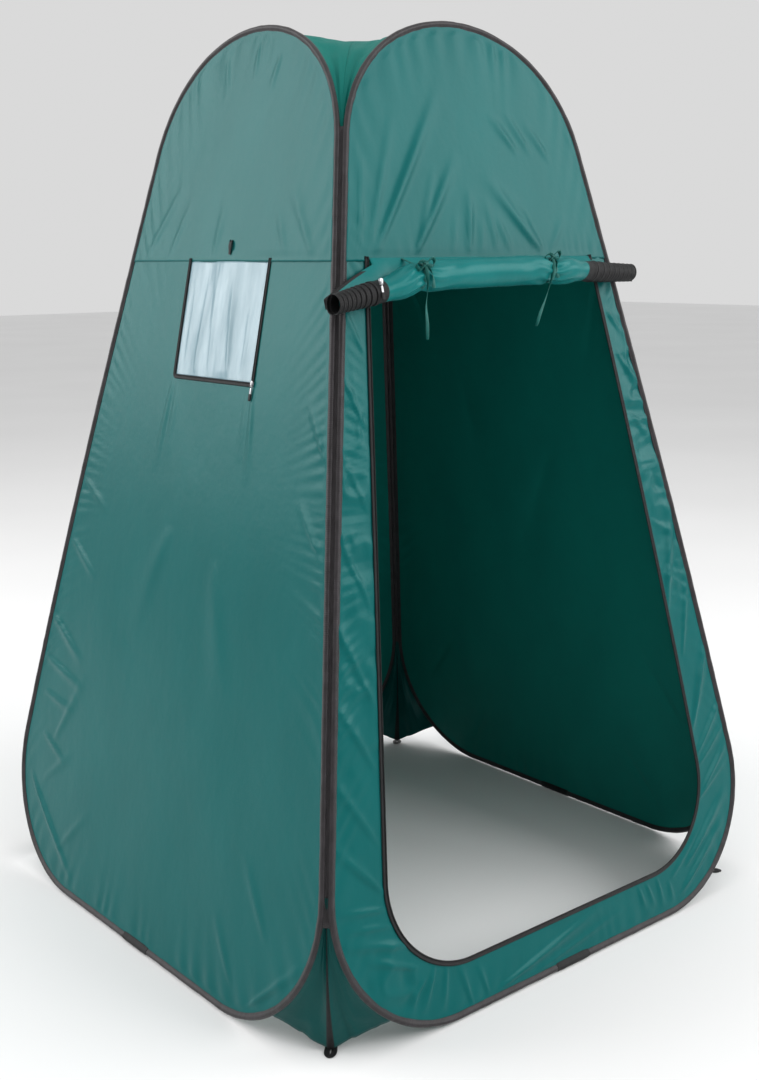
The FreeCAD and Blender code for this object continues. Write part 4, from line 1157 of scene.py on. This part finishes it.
def door_hanging_strip():
    """The top of the door panel, from the header seam down behind the roll, where it widens."""
    columns, rows = 96, 44
    share = np.linspace(0, 1, rows)
    top = doorway_top()
    s, across = share[:, None], np.linspace(0, 1, columns)[None]
    spread = np.clip((s - 0.2) / 0.6, 0, 1)
    left = -top * (1 - spread) + (ROLL_MIDDLE - ROLL_REACH) * spread
    right = top * (1 - spread) + (ROLL_MIDDLE + ROLL_REACH) * spread
    u = left * (1 - across) + right * across
    seam_v, seam_out = HEADER - 2 * MM, 2.0 * MM
    roll_v, roll_out = roll_line(u)
    end_v, end_out = roll_v - 6 * MM, roll_out - 0.93 * roll_radius(u, 0)
    v = seam_v * (1 - s) + end_v * s
    belly = 3 * MM * np.sin(math.pi * s) * (1 + noise(u / 0.05, 0.4, SEEDS["door_top"]))
    out = seam_out * (1 - s) + end_out * s + belly
    points = on_wall("front", u.ravel(), v.ravel(), out.ravel())
    uv = np.stack([u.ravel(), v.ravel()], axis=1)
    faces = grid_faces(rows, columns)
    row, column = faces[:, 0] // columns, faces[:, 0] % columns
    black = ((column < 2) | (column > columns - 4)) & (row > rows // 3)    # the zip, below the header
    piece = make_piece("door_panel_top", points, faces, uv, [ROLL_CLOTH_PAINTED_LIGHT, ZIP], black)
    thicken(piece, inner_second_material=False)
    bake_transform(piece)


def ribbon(name, path, side, width, material, count=60, thickness=0.9 * MM):
    """A flat tape along a smooth path, with its crossways direction given at each point of the path."""
    centres = smooth_line(path, count)
    tangent = unit(np.gradient(centres, axis=0))
    across = unit(smooth_line(side, count))
    across = unit(across - tangent * np.sum(across * tangent, axis=1, keepdims=True))
    normal = np.cross(tangent, across)
    half, thick = width / 2, thickness / 2
    shape = np.array([(-half, 0), (-half * 0.8, thick), (0, thick * 0.6), (half * 0.8, thick), (half, 0),
                      (half * 0.8, -thick), (0, -thick * 1.4), (-half * 0.8, -thick)])
    return swept(name, centres, across, normal, shape, material)


TIE_KNOT = {"left": math.radians(40), "right": math.radians(52)}    # where the knot is round the roll
TIE_WRAPS = ((6, 1.0), (-6, 2.2))       # how far each crosses the knot, and its lift
TIE_LOOPS = ((-1, -5), (1, 3))          # each loop's way across, and its droop
TIE_TAILS = {  # across, up and out from the knot, in millimetres
    "left": [[(0, 0, 3), (-3, -16, 7), (-2, -40, 3), (-7, -76, -3), (-6, -110, -8), (-9, -138, -10)],
             [(0, 0, 3), (7, -12, 7), (12, -28, 6), (13, -44, 2)]],
    "right": [[(0, 0, 3), (-6, -18, 8), (-16, -48, 4), (-31, -82, -2), (-47, -112, -8), (-60, -136, -10)],
              [(0, 0, 3), (5, -12, 7), (4, -26, 6), (9, -42, 2)]]}


def door_tie(side):
    """A tape tied in a bow round the rolled door, with its tails hanging."""
    x0 = TIE_AT[side]
    v0, out0 = (float(value[0]) for value in roll_line(np.array([x0])))
    across, up, out = (wall_vector("front", **{key: 1.0}) for key in ("across", "up", "out"))
    origin = on_wall("front", x0, v0, out0)[0]

    def at(a, b, c):
        return origin + (across * a + up * b + out * c) * MM

    def tied(name, path, sides, width, *settings):
        return ribbon(name, [at(*place) for place in path], sides, width * MM, TIE_TAPE, *settings)

    ring = LOOSE_ROLL / MM * (1 - TIE_PINCH) + 0.8
    knot = TIE_KNOT[side]
    turn = np.linspace(knot, knot + TAU, 25)
    round_roll = [(3.0 * np.sin(a - knot), ring * math.sin(a), ring * math.cos(a)) for a in turn]
    pieces = [tied("ring", round_roll, [across] * 25, 9, 90)]
    ky, kz = ring * math.sin(knot) + 2, ring * math.cos(knot) + 3
    seam = on_wall("front", x0, HEADER - 4 * MM, 3 * MM)[0]
    strap = [at(1, ky - 1, kz - 3), at(1, ring * 0.95, kz * 0.45), at(0, ring * 1.05, -8), seam]
    pieces.append(ribbon("strap", strap, [across] * 4, 8 * MM, TIE_TAPE, 40))
    for tip, lift in TIE_WRAPS:
        wrap = [(-tip, ky - 6, kz - 2), (-tip * 0.6, ky - 1, kz + 2.5 + lift),
                (tip * 0.6, ky + 4, kz + 2 + lift), (tip, ky + 8, kz - 4)]
        pieces.append(tied("wrap", wrap, [across] * 4, 6.5, 24, 2.2 * MM))
    for way, droop in TIE_LOOPS:
        loop = [(0, ky + 1, kz + 3), (way * 9, ky + 8 + droop * 0.3, kz + 6),
                (way * 19, ky + 9 + droop, kz + 4), (way * 23, ky + 2 + droop, kz + 2),
                (way * 17, ky - 5 + droop, kz + 4), (way * 8, ky - 4, kz + 6), (0, ky - 1, kz + 4)]
        pieces.append(tied("loop", loop, [up * 0.55 + out * 0.8] * 7, 7.5, 46))
    for index, tail in enumerate(TIE_TAILS[side]):
        path = [(a, ky + b, kz + c) for a, b, c in tail]
        twists = [0.9 * k + index for k in range(len(tail))]
        spin = [across * math.cos(twist) + out * math.sin(twist) for twist in twists]
        pieces.append(tied("tail", path, spin, 7, 70))
    piece = joined(f"door_tie_tape_{side}", pieces)
    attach(piece, "front")
    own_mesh(piece)
    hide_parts(f"door_tie_{side}")


# ---------------------------------------------------------------- window

WINDOW_FOLDS = [  # across from the window's middle
    ((-70, 1225), (-60, 1440), 9, 3.5), ((-20, 1230), (-34, 1450), 7, 2.5), ((50, 1225), (28, 1430), 10, 4),
    ((95, 1230), (100, 1400), 7, 2.5), ((-110, 1250), (-104, 1430), 6, 2),
]


def window_sheet():
    """The milky window film, hung from the header seam and creased upright."""
    left, right, foot = window_box()
    inset = 7 * MM
    rows, columns = 60, 70
    u = np.linspace(left + inset, right - inset, columns)
    v = np.linspace(foot + inset, HEADER - HEADER_LAP + 0.5 * MM, rows)
    u, v = (value.ravel() for value in np.meshgrid(u, v))
    middle = (left + right) / 2
    folds = [((middle / MM + start[0], start[1]), (middle / MM + end[0], end[1]), *size)
             for start, end, *size in WINDOW_FOLDS]
    inside = np.minimum(np.minimum(u - left, right - u), v - foot) - inset
    held = np.clip(inside / (18 * MM), 0, 1)
    shape = creases(u, v, folds) + 2.0 * MM * noise(u / 0.05, v / 0.25, SEEDS["film"])
    points = on_wall("left", u, v, 0.4 * MM + shape * held)
    piece = make_piece("window_sheet", points, grid_faces(rows, columns), np.stack([u, v], axis=1), [FILM])
    thicken(piece, 0.5 * MM, inner_second_material=False)
    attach(piece, "window")
    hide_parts("window_film")


def window_outline(inset):
    """The window's sides and foot moved inwards, as u, v and facing, with small round corners."""
    left, right, foot = window_box()
    radius = 6 * MM
    left, right, foot = left + inset, right - inset, foot + inset
    down = np.linspace(HEADER - MM, foot + radius, 40)
    rows = [(left, v, math.pi) for v in down]
    for a in np.linspace(math.pi, 1.5 * math.pi, 6)[1:-1]:
        rows.append((left + radius * (1 + math.cos(a)), foot + radius * (1 + math.sin(a)), a))
    rows += [(u, foot, 1.5 * math.pi) for u in np.linspace(left + radius, right - radius, 44)]
    for a in np.linspace(1.5 * math.pi, TAU, 6)[1:-1]:
        rows.append((right - radius * (1 - math.cos(a)), foot + radius * (1 + math.sin(a)), a))
    rows += [(right, v, TAU) for v in down[::-1]]
    return np.array(rows)


def window_zip():
    """The zip sewn round the window's sides and foot."""
    strip = zip_strip("window_strip", "left", window_outline(4.5 * MM), 9.0, -1)
    teeth = coil_teeth("window_teeth", "left", window_outline(7.5 * MM), 2.4 * MM, 1.1 * MM, 3.2 * MM)
    piece = joined("window_zip", [strip, teeth])
    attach(piece, "left")
    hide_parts("window_zip_tape")


TAB_PATH = (  # across in millimetres, share of the tab's height, and out in millimetres
    (0, 0.0, 2.2), (1, 0.3, 3.4), (-1, 0.65, 4.2), (1, 0.95, 3.0), (3, 0.7, 5.4), (3, 0.35, 5.0))


def window_tab():
    """The small doubled tape that holds the film when it is rolled up."""
    low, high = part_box("window_tie")
    middle = -(low.y + high.y) / 2
    foot, top = slope_heights("window_tie")
    foot = foot + 6 * MM
    path = [on_wall("left", middle + a * MM, foot + (top - foot) * share, c * MM)[0]
            for a, share, c in TAB_PATH]
    crossways = [wall_vector("left", across=1.0)] * len(path)
    piece = ribbon("window_tab", path, crossways, 9 * MM, WEBBING, 50, 1.2 * MM)
    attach(piece, "left")
    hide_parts("window_tie")


# ---------------------------------------------------------------- sliders

# outlines of the plates, across and up in millimetres
SHIELD = [(0, 6.5), (2.6, 5.6), (4.4, 3.6), (4.2, 0.5), (3.0, -3.5), (3.2, -6.2), (0, -6.6), (-3.2, -6.2),
          (-3.0, -3.5), (-4.2, 0.5), (-4.4, 3.6), (-2.6, 5.6)]
POST = [(1.2, 6), (1.2, 3), (-1.2, 3), (-1.2, 6)]
BRIDGE = [(1.4, 4.0), (1.7, 0.0), (1.4, -4.2), (-1.4, -4.2), (-1.7, 0.0), (-1.4, 4.0)]
PULL = [(1.3, -7.4), (2.4, -9.5), (3.0, -14.0), (2.7, -27.0), (1.8, -32.0), (0, -33.2), (-1.8, -32.0),
        (-2.7, -27.0), (-3.0, -14.0), (-2.4, -9.5), (-1.3, -7.4)]
TAG = [(3.4, -20.0), (3.6, -31.5), (2.2, -33.8), (-2.2, -33.8), (-3.6, -31.5), (-3.4, -20.0)]
# each plate's outline, its two faces in millimetres out, how far its edges are softened, and its material
SLIDER_PLATES = {"lower": (SHIELD, -2.2, -0.7, 0.08, METAL), "upper": (SHIELD, 0.4, 1.9, 0.10, METAL),
                 "post": (POST, -1.2, 0.8, 0.05, METAL), "bridge": (BRIDGE, 1.7, 3.0, 0.2, METAL)}
PULL_PLATES = {"pull": (PULL, 0.2, 1.6, 0.06, METAL), "tag": (TAG, -0.3, 2.1, 0.10, WEBBING)}


def plate(name, place, outline, low, high, bevel, material):
    """A plate of a given outline, with softened edges."""
    outline = np.array(outline, float) * MM
    middle = outline.mean(0)
    layers = [(low, 1 - bevel), (low + 0.3, 1), (high - 0.3, 1), (high, 1 - bevel)]
    points = np.vstack([np.hstack([middle + (outline - middle) * scale, np.full((len(outline), 1), z * MM)])
                        for z, scale in layers])
    count = len(outline)
    faces = grid_faces(len(layers), count, wrap_columns=True).tolist()
    faces += [list(range(count))[::-1], list(range(3 * count, 4 * count))]
    return make_piece(name, place(points), faces, points[:, :2], [material])


def slider_pieces(name, wall, body, pull_body, shift=(0, 0)):
    """A zip slider and its pull, where the CAD has them but for a small shift up and out."""
    low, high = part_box(f"{name}_slider")
    middle = turned(np.array([(low + high) / 2]), (4 - WALLS[wall]) % 4)[0]
    v0, out0 = up_and_out(middle)

    def place(points):
        return on_wall(wall, middle[0] + points[:, 0], v0 + shift[0] + points[:, 1],
                       out0 + shift[1] + points[:, 2])

    for kind, rides_on, plates in (("slider", body, SLIDER_PLATES), ("pull", pull_body, PULL_PLATES)):
        parts = [plate(part, place, *sizes) for part, sizes in plates.items()]
        piece = joined(f"{name}_zip_{kind}", parts)
        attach(piece, rides_on)
        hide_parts(f"{name}_{kind}")


# ---------------------------------------------------------------- studio

def look_from(position, yaw, pitch, roll):
    """A camera's matrix. Yaw turns from +Y towards +X, and all three are in degrees."""
    yaw, pitch, roll = (math.radians(value) for value in (yaw, pitch, roll))
    forward = Vector((math.sin(yaw) * math.cos(pitch), math.cos(yaw) * math.cos(pitch), math.sin(pitch)))
    level = Vector((math.cos(yaw), -math.sin(yaw), 0))
    above = level.cross(forward)
    right = level * math.cos(roll) + above * math.sin(roll)
    up = above * math.cos(roll) - level * math.sin(roll)
    matrix = Matrix((right, up, -forward)).transposed().to_4x4()
    matrix.translation = Vector(position)
    return matrix


CAMERA_PLACE = (-1.951, -2.374, 1.446)
CAMERA_TURN = (39.87, -11.92, -0.42)    # yaw, pitch and roll in degrees
CAMERA_LENS = 45.15
CAMERA_SENSOR = 36.0
SOFTBOXES = {  # place, aim, width, height and power
    "back_left_softbox": ((-4.2, 3.6, 3.3), (-0.5, 0, 1.1), 4.5, 3.6, 230),
    "front_right_softbox": ((3.9, -3.9, 3.3), (0, -0.5, 1.1), 4.0, 3.6, 180),
    "front_key_softbox": ((1.3, -4.9, 3.3), (0, -0.5, 1.3), 1.5, 2.4, 70),
    "overhead_softbox": ((-0.6, -0.8, 5.0), (0, 0, 1.0), 4.5, 4.5, 60),
}
WORLD_STRENGTH = 0.7
FLOOR_REACH = 30.0


def studio_camera():
    """The camera, outside the front left corner and looking a little down."""
    data = bpy.data.cameras.new("studio_camera")
    data.sensor_width = CAMERA_SENSOR
    data.lens = CAMERA_LENS
    camera = bpy.data.objects.new("studio_camera", data)
    camera.matrix_world = look_from(CAMERA_PLACE, *CAMERA_TURN)
    bpy.context.scene.collection.objects.link(camera)
    bpy.context.scene.camera = camera


def soft_light(name, place, aim, width, height, power):
    """A rectangular area light turned towards its aim."""
    data = bpy.data.lights.new(name, "AREA")
    data.shape = "RECTANGLE"
    data.size, data.size_y = width, height
    data.energy = power
    light = bpy.data.objects.new(name, data)
    direction = Vector(aim) - Vector(place)
    light.matrix_world = Matrix.Translation(place) @ direction.to_track_quat("-Z", "Y").to_matrix().to_4x4()
    bpy.context.scene.collection.objects.link(light)


def studio():
    """A plain pale floor, an even pale world and the softboxes."""
    world = bpy.data.worlds.new("studio_world")
    world.use_nodes = True
    background = world.node_tree.nodes["Background"]
    background.inputs["Color"].default_value = (1.0, 1.0, 1.0, 1)
    background.inputs["Strength"].default_value = WORLD_STRENGTH
    bpy.context.scene.world = world
    bpy.context.scene.view_settings.view_transform = "Standard"
    corners = np.array([(-1.0, -1.0, 0), (1.0, -1.0, 0), (1.0, 1.0, 0), (-1.0, 1.0, 0)]) * FLOOR_REACH
    floor = make_piece("studio_floor", corners, np.array([[0, 1, 2, 3]]), corners[:, :2], [floor_material()])
    for name, settings in SOFTBOXES.items():
        soft_light(name, *settings)


# ---------------------------------------------------------------- everything

studio_camera()
studio()
for wall in WALLS:
    hoop_binding(wall)
    header_piece(wall)
    roof_piece(wall)
    foot_tab(wall)
    if wall != "front":
        wall_piece(wall)
front_wall_piece()
for corner in CORNERS:
    corner_strip(corner)
    gusset(corner)
    peg_loop(corner)
doorway_zip()
rolled_door()
door_hanging_strip()
for side in ("left", "right"):
    door_tie(side)
window_sheet()
window_zip()
window_tab()
slider_pieces("door", "front", "door", "door_pull", (-12 * MM, -3 * MM))
slider_pieces("window", "left", "window_slider", "window_pull")

bpy.context.view_layer.update()
